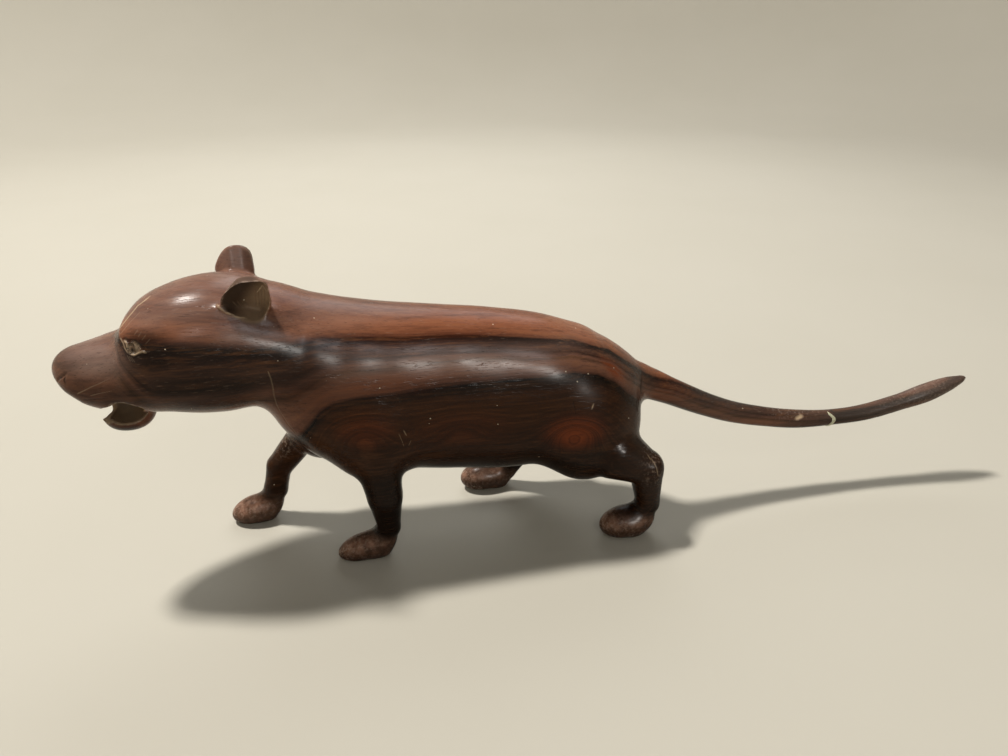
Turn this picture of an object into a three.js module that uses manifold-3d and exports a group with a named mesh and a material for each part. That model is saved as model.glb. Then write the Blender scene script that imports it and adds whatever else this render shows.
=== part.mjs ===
// A walking cat with a long tail, carved from one block of rosewood, 700 mm from nose to tail tip.
// All sizes are millimetres. A place on the cat is [along, side, up]: the distance behind the tip of the
// nose, the distance to the cat's right of its midline, and the height above the ground.
import * as THREE from "three";
import { mergeVertices } from "three/addons/utils/BufferGeometryUtils.js";
import Module from "manifold-3d";

// Driving dimensions
const BODY_BLEND = 14; // how softly a thigh or a shoulder runs into the body
const NECK_BLEND = 8; // how softly the head runs into the body
const LEG_BLEND = 7; // how softly a leg runs out of its muscle
const PAW_BLEND = 4; // how softly a paw runs out of its leg
const JOINT_BLEND = 1.5; // how softly the bones of a leg run into each other
const GROUND = { length: 1400, width: 400, depth: 60 }; // what the paws are sawn off flat by, at height 0
const WOOD = { color: 0x4a2a20, roughness: 0.38, metalness: 0 };

// Sections of the head, from the nose to the neck, which the neck end of the body hides. The head looks a
// little to its left, so its middle drifts off the midline towards the nose. The section is widest, by half
// to each side, at the height called widest.
const HEAD_SECTIONS = [
  { along: 0, middle: -20, top: 178.5, widest: 166, bottom: 157, half: 10 },
  { along: 10, middle: -19, top: 180.5, widest: 162, bottom: 150.5, half: 17 },
  { along: 20, middle: -17.5, top: 182.5, widest: 158, bottom: 142.5, half: 22.5 },
  { along: 32, middle: -15.5, top: 185.5, widest: 157, bottom: 138, half: 28 },
  { along: 42, middle: -13.5, top: 189, widest: 158, bottom: 137, half: 32 },
  { along: 49, middle: -12.5, top: 199.5, widest: 160, bottom: 134.5, half: 35 },
  { along: 57, middle: -11, top: 207, widest: 163, bottom: 133, half: 37.5 },
  { along: 70, middle: -8.5, top: 213, widest: 165, bottom: 131, half: 41.5 },
  { along: 86, middle: -6, top: 217, widest: 167, bottom: 127.5, half: 45 },
  { along: 103, middle: -3.5, top: 218, widest: 168, bottom: 126, half: 46.5 },
  { along: 120, middle: -1.5, top: 215, widest: 168, bottom: 127, half: 46 },
  { along: 138, middle: 0, top: 207.5, widest: 167, bottom: 123.5, half: 45 },
  { along: 160, middle: 0, top: 202, widest: 163, bottom: 124, half: 42 },
];
const HEAD_SQUARENESS = 2.2;
const NOSE_ROUNDING = 14;
const NOSE_START = -1.5;
const HEAD_END = 165;

// Sections of the body, from the chest to the rump.
const BODY_SECTIONS = [
  { along: 118, middle: 0, top: 212, widest: 167, bottom: 125, half: 40 },
  { along: 140, middle: 0, top: 207, widest: 155, bottom: 98, half: 44 },
  { along: 160, middle: 0, top: 200, widest: 142, bottom: 78.5, half: 47 },
  { along: 185, middle: 0, top: 194, widest: 130, bottom: 68, half: 48 },
  { along: 212, middle: 0, top: 189, widest: 124, bottom: 64.5, half: 47.5 },
  { along: 253, middle: 0, top: 184.5, widest: 118, bottom: 59.5, half: 46 },
  { along: 293, middle: 0, top: 179, widest: 113, bottom: 55.5, half: 45.5 },
  { along: 322, middle: 0, top: 173, widest: 112, bottom: 58, half: 46.5 },
  { along: 345, middle: 0, top: 165.5, widest: 110, bottom: 63.5, half: 46 },
  { along: 361, middle: 0, top: 159.5, widest: 108, bottom: 68, half: 43.5 },
  { along: 377, middle: 0, top: 148, widest: 104, bottom: 70, half: 38 },
  { along: 388, middle: 0, top: 140.5, widest: 102, bottom: 71, half: 32 },
  { along: 396, middle: 0, top: 135, widest: 100, bottom: 72, half: 26 },
  { along: 406, middle: 0, top: 127, widest: 100, bottom: 74, half: 18 },
];
const BODY_SQUARENESS = 2.25;
const CHEST_START = 124;
const RUMP_END = 402;
const BODY_ROUNDING = 22;

// The lower jaw is a scoop below the open mouth. The palate is arched over it.
const JAW = { at: [38, -15.5, 132], radii: [16.5, 16.5, 13] };
const JAW_HOLLOW = { at: [36.5, -15.5, 135], radii: [13, 13, 12] };
const MOUTH = { at: [31, -15, 139], radii: [21, 30, 9] };
const JAW_SIDES = 16;

// The eyes are small balls in shallow sockets, and the nostrils are slits beside the tip of the nose.
const EYE_SOCKET_RADII = [7.5, 4.2, 4.6];
const EYE_BALL_RADII = [4.6, 4, 3.5];
const EYES = [
  { socket: [59.5, -47.5, 188.5], ball: [59, -43.5, 188] },
  { socket: [51, 23, 188.5], ball: [50.5, 19, 188] },
];
const NOSTRIL_RADII = [4.5, 5, 1.6];
const NOSTRILS = [
  [8, -34.5, 170],
  [4.5, -8, 170],
];
const SMALL_SIDES = 10; // round an eye or a nostril

// Each leg has a muscle where it joins the body, joints from the top down with their radii, and a paw. The
// two left legs are set back and the two right legs forward, in mid stride.
const LEGS = {
  leftFront: {
    muscle: { at: [198, -27, 103.5], radii: [29.5, 23, 37], tilt: 0 },
    joints: [
      { at: [198.5, -31, 86], radius: 17 },
      { at: [201.5, -33, 55], radius: 13 },
      { at: [202.5, -32.5, 27], radius: 8.5 },
      { at: [192.5, -31, 8], radius: 9 },
    ],
    paw: { at: [185, -31, 9.5], radii: [22, 11, 10.5], tilt: 0.26 },
  },
  rightFront: {
    muscle: { at: [160, 25, 94], radii: [30, 23, 36.5], tilt: 0 },
    joints: [
      { at: [145, 31, 77.5], radius: 11.5 },
      { at: [120.5, 33.5, 46.5], radius: 9.5 },
      { at: [116, 33, 28], radius: 9 },
      { at: [106.5, 33, 7], radius: 8 },
    ],
    paw: { at: [98.5, 32, 10], radii: [20, 13, 11], tilt: 0.23 },
  },
  leftHind: {
    muscle: { at: [356, -25, 89], radii: [38.5, 23, 42.5], tilt: 0 },
    joints: [
      { at: [378.5, -33, 70.5], radius: 20 },
      { at: [398.5, -41, 60], radius: 13 },
      { at: [402.5, -41, 28.5], radius: 9 },
      { at: [393.5, -40, 7], radius: 8 },
    ],
    paw: { at: [387, -40, 11.5], radii: [22, 14, 12.5], tilt: 0.14 },
  },
  rightHind: {
    muscle: { at: [346, 25, 88], radii: [38, 23, 38], tilt: 0 },
    joints: [
      { at: [346, 34, 66], radius: 19 },
      { at: [321, 41, 38], radius: 8.5 },
      { at: [306.5, 44, 16], radius: 8 },
      { at: [299.5, 45, 8.5], radius: 9.5 },
    ],
    paw: { at: [285.5, 45, 11], radii: [19, 13, 12], tilt: 0.1 },
  },
};

// The tail's centre line and its radius, from inside the rump to the tip.
const TAIL = [
  { at: [376, 0, 124], radius: 12 },
  { at: [405, 0, 113.5], radius: 12.8 },
  { at: [430, 0, 102], radius: 11 },
  { at: [457, 0, 89], radius: 9.8 },
  { at: [485, 0, 78], radius: 8.8 },
  { at: [515, 0, 70.5], radius: 8.2 },
  { at: [547, 0, 65], radius: 7.8 },
  { at: [578, 0, 63.5], radius: 6.8 },
  { at: [610, 0, 65.5], radius: 7 },
  { at: [640, 0, 72], radius: 7.2 },
  { at: [663, 0, 78.5], radius: 8.2 },
  { at: [682, 0, 85], radius: 6.4 },
  { at: [699.5, 0, 90.5], radius: 0 },
];
const TAIL_SIDES = 12;
const TAIL_RINGS = 34;
const TAIL_ROOT = [
  { at: [372, 0, 118], radius: 26 },
  { at: [400, 0, 113.5], radius: 13.5 },
];

// The ears are upright cups that open sideways, cut with a few flat strokes. The right ear sits further
// forward than the left one. A stroke leaves a flat face that looks in a direction [back, up, outwards], at
// a distance from the middle of the ear.
const EARS = [
  { at: [127.8, -33, 212], facing: -1 },
  { at: [112.9, 33, 215.5], facing: 1 },
];
const EAR_EDGES = [
  { direction: [0.1, 0.99, 0], distance: 12 },
  { direction: [0.99, 0, 0], distance: 12.6 },
  { direction: [-0.8, 0.6, 0], distance: 11.6 },
];
const EAR_BACK = [
  { direction: [-0.62, 0.05, -0.78], distance: 8.6 },
  { direction: [0.05, 0.12, -0.99], distance: 7.2 },
  { direction: [0.68, 0.1, -0.73], distance: 9.4 },
];
const EAR_ROOT = [
  { direction: [0.52, -0.61, 0.6], distance: 12.8 },
  { direction: [-0.46, -0.65, 0.6], distance: 11.6 },
  { direction: [-1, 0, 0], distance: 18 },
  { direction: [0, -1, 0], distance: 24 },
  { direction: [0, 0, 1], distance: 4.6 },
];
const EAR_HOLLOW = [
  { direction: [0.65, -0.76, 0], distance: 12.6 },
  { direction: [-0.58, -0.81, 0], distance: 11 },
];
const EAR_BLANK = 60; // the width of the blank that an ear is cut from
const EAR_RIM = 1.6; // how thick the ear is at its rim
const EAR_WALL = 2.6; // how thick its back is
const EAR_LEAN = 0.27;

// How fine the carved surface is, as grid steps up to a distance behind the nose.
const GRID_START = [-14, -72, -17];
const ALONG_STEPS = [
  { until: 62, step: 6 },
  { until: 140, step: 8 },
  { until: 425, step: 10.4 },
];
const SIDE_STEPS = [{ until: 72, step: 7.6 }];
const UP_STEPS = [
  { until: 34, step: 6 },
  { until: 112, step: 9 },
  { until: 231, step: 7.6 },
];

/** A value that runs smoothly through the sections of a list, by the distance behind the nose. */
function through(sections, key, along) {
  const last = sections.length - 1;
  let i = 0;
  while (i < last - 1 && along > sections[i + 1].along) i++;
  const slope = (n) => {
    const a = sections[Math.max(n - 1, 0)];
    const b = sections[Math.min(n + 1, last)];
    return (b[key] - a[key]) / (b.along - a.along);
  };
  const a = sections[i];
  const b = sections[i + 1];
  const span = b.along - a.along;
  const t = THREE.MathUtils.clamp((along - a.along) / span, 0, 1);
  const t2 = t * t;
  const t3 = t2 * t;
  return (
    a[key] * (2 * t3 - 3 * t2 + 1) +
    slope(i) * span * (t3 - 2 * t2 + t) +
    b[key] * (3 * t2 - 2 * t3) +
    slope(i + 1) * span * (t3 - t2)
  );
}

/** The smaller of two distances, with the corner between them filled to a radius of about blend. */
function union(a, b, blend) {
  const h = Math.max(blend - Math.abs(a - b), 0) / blend;
  return Math.min(a, b) - (h * h * blend) / 4;
}

/** The larger of two distances, with the edge between them rounded to about blend. */
function intersect(a, b, blend) {
  return -union(-a, -b, blend);
}

/** The distance from a loft of rounded sections, cut off at its two ends. */
function loft(sections, squareness, p) {
  const top = through(sections, "top", p.x);
  const bottom = through(sections, "bottom", p.x);
  const half = through(sections, "half", p.x);
  const widest = through(sections, "widest", p.x);
  const rise = p.z > widest ? top - widest : widest - bottom;
  const y = Math.abs(p.y - through(sections, "middle", p.x)) / half;
  const z = Math.abs(p.z - widest) / rise;
  const q = Math.pow(Math.pow(y, squareness) + Math.pow(z, squareness), 1 / squareness);
  return (q - 1) * Math.min(half, rise);
}

/** The distance from an egg that is tilted nose-down by tilt, in radians. */
function egg({ at, radii, tilt }, p) {
  const x = p.x - at[0];
  const z = p.z - at[2];
  const c = Math.cos(tilt);
  const s = Math.sin(tilt);
  const q = [(c * x + s * z) / radii[0], (p.y - at[1]) / radii[1], (c * z - s * x) / radii[2]];
  const k = Math.hypot(...q);
  const slope = Math.hypot(q[0] / radii[0], q[1] / radii[1], q[2] / radii[2]);
  return k < 1e-6 ? -Math.min(...radii) : (k * (k - 1)) / slope;
}

const rod = new THREE.Line3();
const nearest = new THREE.Vector3();

/** The distance from a leg's bones: straight tapered rods from joint to joint. */
function limb(joints, p) {
  let d = Infinity;
  for (let i = 0; i + 1 < joints.length; i++) {
    rod.start.set(...joints[i].at);
    rod.end.set(...joints[i + 1].at);
    const t = rod.closestPointToPointParameter(p, true);
    rod.at(t, nearest);
    const radius = THREE.MathUtils.lerp(joints[i].radius, joints[i + 1].radius, t);
    d = i ? union(d, p.distanceTo(nearest) - radius, JOINT_BLEND) : p.distanceTo(nearest) - radius;
  }
  return d;
}

/** The distance from the carved figure, without ears, lower jaw and tail. It is negative inside the wood. */
function carving(p) {
  let head = loft(HEAD_SECTIONS, HEAD_SQUARENESS, p);
  head = intersect(head, NOSE_START - p.x, NOSE_ROUNDING);
  head = intersect(head, p.x - HEAD_END, NOSE_ROUNDING);
  let body = loft(BODY_SECTIONS, BODY_SQUARENESS, p);
  body = intersect(body, CHEST_START - p.x, BODY_ROUNDING);
  body = intersect(body, p.x - RUMP_END, BODY_ROUNDING);
  let d = union(head, body, NECK_BLEND);
  d = union(d, limb(TAIL_ROOT, p), BODY_BLEND);
  for (const { muscle, joints, paw } of Object.values(LEGS)) {
    d = union(d, egg(muscle, p), BODY_BLEND);
    d = union(d, union(limb(joints, p), egg(paw, p), PAW_BLEND), LEG_BLEND);
  }
  return d;
}

/** Positions of grid lines from start to each until in turn, as evenly as the steps allow. */
function gridLines(start, zones) {
  const lines = [start];
  for (const { until, step } of zones) {
    const from = lines[lines.length - 1];
    const count = Math.ceil((until - from) / step);
    for (let i = 1; i <= count; i++) lines.push(from + ((until - from) * i) / count);
  }
  return lines;
}

// A grid cell's corners, its edges as pairs of corners, and its faces as sets of corners.
const CELL_CORNERS = [0, 1, 2, 3, 4, 5, 6, 7].map((n) => [n & 1, (n >> 1) & 1, n >> 2]);
const CELL_EDGES = [1, 2, 4].flatMap((bit) =>
  [0, 1, 2, 3, 4, 5, 6, 7].filter((n) => !(n & bit)).map((n) => [n, n | bit])
);
const CELL_FACES = [1, 2, 4].flatMap((bit) =>
  [0, bit].map((side) => [0, 1, 2, 3, 4, 5, 6, 7].filter((n) => (n & bit) === side))
);

/** Moves a point onto the surface where the field is zero. */
function settle(field, point) {
  const e = 0.05;
  const at = new THREE.Vector3();
  const gradient = new THREE.Vector3();
  for (let round = 0; round < 4; round++) {
    const d = field(point);
    for (const axis of ["x", "y", "z"]) {
      at.copy(point)[axis] += e;
      gradient[axis] = (field(at) - d) / e;
    }
    point.addScaledVector(gradient, -d / Math.max(gradient.lengthSq(), 0.05));
  }
  return point;
}

/** Groups of a cell's crossed edges, one group for each sheet of surface that passes through the cell. */
function sheets(inside) {
  const crossed = CELL_EDGES.filter(([a, b]) => inside[a] !== inside[b]);
  const groups = crossed.map((edge) => new Set([edge]));
  const join = (e, f) => {
    const [g, h] = [e, f].map((edge) => groups.findIndex((group) => group.has(edge)));
    if (g === h) return;
    groups[h].forEach((edge) => groups[g].add(edge));
    groups.splice(h, 1);
  };
  for (const face of CELL_FACES) {
    const rim = crossed.filter(([a, b]) => face.includes(a) && face.includes(b));
    for (const e of rim)
      for (const f of rim) {
        const shared = e.find((corner) => f.includes(corner));
        if (rim.length === 2 || (shared !== undefined && inside[shared])) join(e, f);
      }
  }
  return groups.map((group) => [...group]);
}

/** The distance between two vertices of a flat list of positions. */
function gap(positions, a, b) {
  return Math.hypot(...[0, 1, 2].map((n) => positions[3 * a + n] - positions[3 * b + n]));
}

/** The closed surface where the field is zero, with one vertex for each sheet in each grid cell. */
function surfaceOf(field, xs, ys, zs) {
  const node = (i, j, k) => (k * ys.length + j) * xs.length + i;
  const value = new Float64Array(xs.length * ys.length * zs.length);
  const p = new THREE.Vector3();
  for (let k = 0; k < zs.length; k++)
    for (let j = 0; j < ys.length; j++)
      for (let i = 0; i < xs.length; i++) value[node(i, j, k)] = field(p.set(xs[i], ys[j], zs[k]));

  const positions = [];
  const vertexOf = new Map(); // by the two ends of a crossed grid edge and the cell
  for (let k = 0; k + 1 < zs.length; k++)
    for (let j = 0; j + 1 < ys.length; j++)
      for (let i = 0; i + 1 < xs.length; i++) {
        const cell = node(i, j, k);
        const nodes = CELL_CORNERS.map(([a, b, c]) => node(i + a, j + b, k + c));
        const inside = nodes.map((n) => value[n] < 0);
        if (inside.every((is) => is === inside[0])) continue;
        const place = ([a, b, c]) => new THREE.Vector3(xs[i + a], ys[j + b], zs[k + c]);
        for (const sheet of sheets(inside)) {
          const mean = new THREE.Vector3();
          for (const [a, b] of sheet) {
            const t = value[nodes[a]] / (value[nodes[a]] - value[nodes[b]]);
            mean.add(place(CELL_CORNERS[a]).lerp(place(CELL_CORNERS[b]), t));
            vertexOf.set(`${cell} ${nodes[a]} ${nodes[b]}`, positions.length / 3);
          }
          positions.push(...settle(field, mean.divideScalar(sheet.length)).toArray());
        }
      }

  const index = [];
  const around = [
    { axis: [1, 0, 0], ring: [[0, -1, -1], [0, 0, -1], [0, 0, 0], [0, -1, 0]] },
    { axis: [0, 1, 0], ring: [[-1, 0, -1], [-1, 0, 0], [0, 0, 0], [0, 0, -1]] },
    { axis: [0, 0, 1], ring: [[-1, -1, 0], [0, -1, 0], [0, 0, 0], [-1, 0, 0]] },
  ];
  for (let k = 1; k + 1 < zs.length; k++)
    for (let j = 1; j + 1 < ys.length; j++)
      for (let i = 1; i + 1 < xs.length; i++)
        for (const { axis, ring } of around) {
          const from = node(i, j, k);
          const to = node(i + axis[0], j + axis[1], k + axis[2]);
          if (value[from] < 0 === value[to] < 0) continue;
          const quad = ring.map(([a, b, c]) => vertexOf.get(`${node(i + a, j + b, k + c)} ${from} ${to}`));
          if (value[from] >= 0) quad.reverse();
          const [a, b, c, d] = quad;
          if (gap(positions, a, c) < gap(positions, b, d)) index.push(a, b, c, a, c, d);
          else index.push(b, c, d, b, d, a);
        }
  const geometry = new THREE.BufferGeometry();
  geometry.setAttribute("position", new THREE.Float32BufferAttribute(positions, 3));
  geometry.setIndex(index);
  return geometry;
}

/** The tail as a turned taper, bent along its centre line. */
function tailGeometry() {
  const line = new THREE.CatmullRomCurve3(TAIL.map(({ at }) => new THREE.Vector3(...at)));
  const radii = new THREE.SplineCurve(TAIL.map(({ radius }, i) => new THREE.Vector2(i, radius)));
  const profile = [];
  for (let i = 0; i <= TAIL_RINGS; i++) {
    const t = i / TAIL_RINGS;
    if (i === 0) profile.push(new THREE.Vector2(0, 0));
    profile.push(new THREE.Vector2(i === TAIL_RINGS ? 0 : Math.max(radii.getPoint(t).y, 0.3), t));
  }
  const tail = new THREE.LatheGeometry(profile, TAIL_SIDES);
  const position = tail.getAttribute("position");
  const across = new THREE.Vector3(0, 1, 0);
  for (let i = 0; i < position.count; i++) {
    const t = position.getY(i);
    const tangent = line.getTangent(t);
    const up = new THREE.Vector3().crossVectors(tangent, across);
    const point = line.getPoint(t).addScaledVector(across, -position.getX(i));
    point.addScaledVector(up, position.getZ(i));
    position.setXYZ(i, ...point.toArray());
  }
  return tail;
}

/** A closed egg. */
function eggGeometry(at, radii, sides) {
  return new THREE.SphereGeometry(1, sides, Math.round(sides / 2)).scale(...radii).translate(...at);
}

const wasm = await Module();
wasm.setup();

/** A closed three.js geometry as a solid that can be joined and cut. */
function solidOf(geometry) {
  geometry.deleteAttribute("normal");
  geometry.deleteAttribute("uv");
  const merged = mergeVertices(geometry, 1e-3);
  return new wasm.Manifold(
    new wasm.Mesh({
      numProp: 3,
      vertProperties: merged.attributes.position.array,
      triVerts: new Uint32Array(merged.index.array),
    })
  );
}

/** An ear's outer form or its hollow: a blank with every stroke's face cut, that leans outwards. */
function earSolid({ at, facing }, strokes) {
  const back = new THREE.Vector3(1, 0, 0);
  const up = new THREE.Vector3(0, facing * Math.sin(EAR_LEAN), Math.cos(EAR_LEAN));
  const outwards = new THREE.Vector3(0, facing * Math.cos(EAR_LEAN), -Math.sin(EAR_LEAN));
  let ear = solidOf(new THREE.BoxGeometry(EAR_BLANK, EAR_BLANK, EAR_BLANK));
  for (const { direction, distance } of strokes) {
    const face = new THREE.Vector3();
    [back, up, outwards].forEach((axis, n) => face.addScaledVector(axis, direction[n]));
    ear = ear.trimByPlane(face.negate().toArray(), -distance);
  }
  return ear.translate(at);
}

/** Strokes moved inwards by a wall's thickness. */
function inwards(strokes, wall) {
  return strokes.map(({ direction, distance }) => ({ direction, distance: distance - wall }));
}

/** The figure's geometry from its finished solid, standing on the ground and centred over the origin. */
function geometryOf(solid) {
  const { vertProperties, triVerts } = solid.getMesh();
  const geometry = new THREE.BufferGeometry();
  geometry.setAttribute("position", new THREE.BufferAttribute(vertProperties, 3));
  geometry.setIndex(new THREE.BufferAttribute(triVerts, 1));
  geometry.computeBoundingBox();
  const centre = geometry.boundingBox.getCenter(new THREE.Vector3());
  geometry.translate(-centre.x, -centre.y, 0);
  geometry.computeVertexNormals();
  return geometry;
}

const steps = [ALONG_STEPS, SIDE_STEPS, UP_STEPS];
const grid = steps.map((zones, n) => gridLines(GRID_START[n], zones));
let cat = solidOf(surfaceOf(carving, ...grid)).add(solidOf(tailGeometry()));
cat = cat.add(solidOf(eggGeometry(JAW.at, JAW.radii, JAW_SIDES)));
cat = cat.subtract(solidOf(eggGeometry(JAW_HOLLOW.at, JAW_HOLLOW.radii, JAW_SIDES)));
cat = cat.subtract(solidOf(eggGeometry(MOUTH.at, MOUTH.radii, JAW_SIDES)));
for (const { socket, ball } of EYES) {
  cat = cat.subtract(solidOf(eggGeometry(socket, EYE_SOCKET_RADII, SMALL_SIDES)));
  cat = cat.add(solidOf(eggGeometry(ball, EYE_BALL_RADII, SMALL_SIDES)));
}
for (const at of NOSTRILS) cat = cat.subtract(solidOf(eggGeometry(at, NOSTRIL_RADII, SMALL_SIDES)));
for (const ear of EARS) {
  cat = cat.add(earSolid(ear, [...EAR_EDGES, ...EAR_BACK, ...EAR_ROOT]));
  const hollow = [...inwards([...EAR_EDGES, ...EAR_HOLLOW], EAR_RIM), ...inwards(EAR_BACK, EAR_WALL)];
  cat = cat.subtract(earSolid(ear, hollow));
}
const ground = new THREE.BoxGeometry(GROUND.length, GROUND.width, GROUND.depth);
cat = cat.subtract(solidOf(ground.translate(0, 0, -GROUND.depth / 2)));

const figure = new THREE.Mesh(geometryOf(cat), new THREE.MeshStandardMaterial(WOOD));
figure.name = "walking_cat";
const group = new THREE.Group();
group.add(figure);
export default group;
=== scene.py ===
"""A walking cat carved from one block of striped rosewood, with a long tail that was once mended."""

import logging
import math
from dataclasses import dataclass, replace
from enum import Enum
from typing import Callable, Sequence

import bpy
import numpy as np
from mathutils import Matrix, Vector


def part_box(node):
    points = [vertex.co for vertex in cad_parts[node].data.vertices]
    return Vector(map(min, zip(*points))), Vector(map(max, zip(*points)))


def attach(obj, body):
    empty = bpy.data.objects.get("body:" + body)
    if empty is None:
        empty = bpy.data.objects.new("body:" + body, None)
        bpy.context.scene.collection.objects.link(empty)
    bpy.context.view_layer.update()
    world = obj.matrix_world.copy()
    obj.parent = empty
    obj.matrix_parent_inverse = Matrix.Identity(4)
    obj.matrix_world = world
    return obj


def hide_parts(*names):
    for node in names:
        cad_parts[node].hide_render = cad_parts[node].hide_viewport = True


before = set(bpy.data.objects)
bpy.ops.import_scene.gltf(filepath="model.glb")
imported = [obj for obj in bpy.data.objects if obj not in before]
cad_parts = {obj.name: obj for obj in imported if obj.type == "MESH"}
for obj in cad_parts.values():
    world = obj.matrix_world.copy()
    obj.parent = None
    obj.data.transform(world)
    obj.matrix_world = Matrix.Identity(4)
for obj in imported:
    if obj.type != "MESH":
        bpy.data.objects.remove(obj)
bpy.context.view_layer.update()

Array = np.ndarray
Field = Callable[[Array], Array]
Pair = tuple[float, float]
Line = tuple[Pair, ...]
Triple = tuple[float, float, float]
Four = tuple[float, float, float, float]

LOG = logging.getLogger("carved cat")
NODE = "walking_cat"
MM = 0.001

# The cat is measured in millimetres as [along, side, up]: behind the tip of the nose, to the cat's right of
# its midline, and above the ground. This is where the origin of the scene lies in that measure.
ORIGIN = np.array([349.685, 2.099, 0.0])

# A fillet that differs high up changes its width between these heights.
FILLET_CHANGE = (140, 165)

# A stroke's cut is worked out only for points so near to its box.
STROKE_MARGIN = 2.5


def to_scene(at: Array) -> Array:
    """Cat millimetres, one column for each point, as rows of scene metres."""
    return (at.T - ORIGIN) * MM


# Distances


def union(a: Array, b: Array, blend: float | Array) -> Array:
    """The smaller of two distances, with the corner between them filled softly.

    Args:
        a: The first distance.
        b: The second distance.
        blend: The width of the fillet, in millimetres.
    Returns:
        The joined distance.
    """
    if not np.any(blend > 0):
        return np.minimum(a, b)
    h = np.maximum(blend - np.abs(a - b), 0) / blend
    return np.minimum(a, b) - h * h * blend / 4


def intersect(a: Array, b: Array, blend: float) -> Array:
    """The larger of two distances, with the edge between them rounded to about blend."""
    return -union(-a, -b, blend)


def smooth(value: Array, low: float, high: float) -> Array:
    """A soft step from 0 at low to 1 at high."""
    t = np.clip((value - low) / (high - low), 0, 1)
    return t * t * (3 - 2 * t)


def column(place: Sequence[float]) -> Array:
    """A place as a column that is taken from an array of points."""
    return np.array(place, dtype=float)[:, None]


def turned(a: Array, b: Array, angle: float) -> tuple[Array, Array]:
    """Two coordinates in directions that are turned by an angle."""
    c, s = math.cos(angle), math.sin(angle)
    return c * a + s * b, c * b - s * a


def from_bone(at: Array, start: Array, end: Array) -> tuple[Array, Array]:
    """Where points lie along a straight bone.

    Args:
        at: The points.
        start: One end of the bone.
        end: The other end.
    Returns:
        The place along the bone nearest to each point, from 0 to 1, and the way from there to the point.
    """
    bone = end - start
    t = np.clip((bone @ (at - start[:, None])) / (bone @ bone), 0, 1)
    return t, at - start[:, None] - bone[:, None] * t


def within(at: Array, low: Array, high: Array, margin: float) -> Array:
    """The numbers of the points within margin of the box from low to high."""
    return np.flatnonzero(((at > low[:, None] - margin) & (at < high[:, None] + margin)).all(0))


def oval(u: Array, v: Array, reach: Pair) -> Array:
    """A soft oval patch: 1 where u and v are 0, and less away from there."""
    return np.exp(-((u / reach[0]) ** 2) - (v / reach[1]) ** 2)


@dataclass(frozen=True)
class Sections:
    """Values that run smoothly through a row of sections along the cat."""

    along: tuple[float, ...]
    values: dict[str, tuple[float, ...]]

    def through(self, name: str, along: Array) -> Array:
        """The value called name at distances behind the nose.

        Args:
            name: Which of the values.
            along: The distances behind the nose.
        Returns:
            The value at each distance.
        """
        s, v = np.array(self.along), np.array(self.values[name])
        slope = np.empty_like(v)
        slope[1:-1] = (v[2:] - v[:-2]) / (s[2:] - s[:-2])
        slope[0], slope[-1] = (v[1] - v[0]) / (s[1] - s[0]), (v[-1] - v[-2]) / (s[-1] - s[-2])
        i = np.clip(np.searchsorted(s, along) - 1, 0, len(s) - 2)
        span = s[i + 1] - s[i]
        t = np.clip((along - s[i]) / span, 0, 1)
        t2, t3 = t * t, t * t * t
        return (
            v[i] * (2 * t3 - 3 * t2 + 1)
            + slope[i] * span * (t3 - 2 * t2 + t)
            + v[i + 1] * (3 * t2 - 2 * t3)
            + slope[i + 1] * span * (t3 - t2)
        )

    @staticmethod
    def of(names: str, rows: Sequence[Sequence[float]]) -> "Sections":
        """Sections from rows of numbers.

        Args:
            names: The names of the columns after the first one.
            rows: The distance behind the nose and the values of each section.
        Returns:
            The sections.
        """
        columns = list(zip(*rows))
        return Sections(columns[0], dict(zip(names.split(), columns[1:])))


class Shape:
    """A shape that the carving is made of."""

    def distance(self, at: Array) -> Array:
        """Roughly how far points are from the surface, negative inside."""
        raise NotImplementedError

    def reach(self) -> tuple[Array, Array]:
        """The lowest and the highest corner of the shape."""
        raise NotImplementedError


@dataclass(frozen=True)
class Egg(Shape):
    """An ellipsoid, squared towards a box, that may be tilted nose-down."""

    at: Triple
    radii: Triple
    tilt: float = 0.0
    squareness: float = 2.0

    def distance(self, at: Array) -> Array:
        """Roughly how far points are from the egg, negative inside."""
        x, y, z = at - column(self.at)
        x, z = turned(x, z, self.tilt)
        q = np.abs(np.stack([x, y, z])) / column(self.radii)
        n = self.squareness
        k = np.maximum((q**n).sum(0), 1e-12) ** (1 / n)
        slope = np.sqrt(((q ** (n - 1) / column(self.radii)) ** 2).sum(0)) / k ** (n - 1)
        return (k - 1) / np.maximum(slope, 1e-6)

    def reach(self) -> tuple[Array, Array]:
        """The lowest and the highest corner of the egg."""
        r = max(self.radii) if self.tilt else np.array(self.radii)
        return np.array(self.at) - r, np.array(self.at) + r


@dataclass(frozen=True)
class Limb(Shape):
    """A leg's bones: tapered rods from joint to joint, squared as a knife leaves them."""

    joints: tuple[Four, ...]
    blend: float
    squareness: float = 2.0

    def distance(self, at: Array) -> Array:
        """Roughly how far points are from the rods, negative inside."""
        d = np.full(at.shape[1], np.inf)
        for a, b in zip(self.joints, self.joints[1:]):
            t, gap = from_bone(at, np.array(a[:3]), np.array(b[:3]))
            across = (np.abs(gap) ** self.squareness).sum(0) ** (1 / self.squareness)
            d = union(d, across - (a[3] + (b[3] - a[3]) * t), self.blend)
        return d

    def reach(self) -> tuple[Array, Array]:
        """The lowest and the highest corner of the rods."""
        joints = np.array(self.joints)
        return (joints[:, :3] - joints[:, 3:]).min(0), (joints[:, :3] + joints[:, 3:]).max(0)


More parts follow.
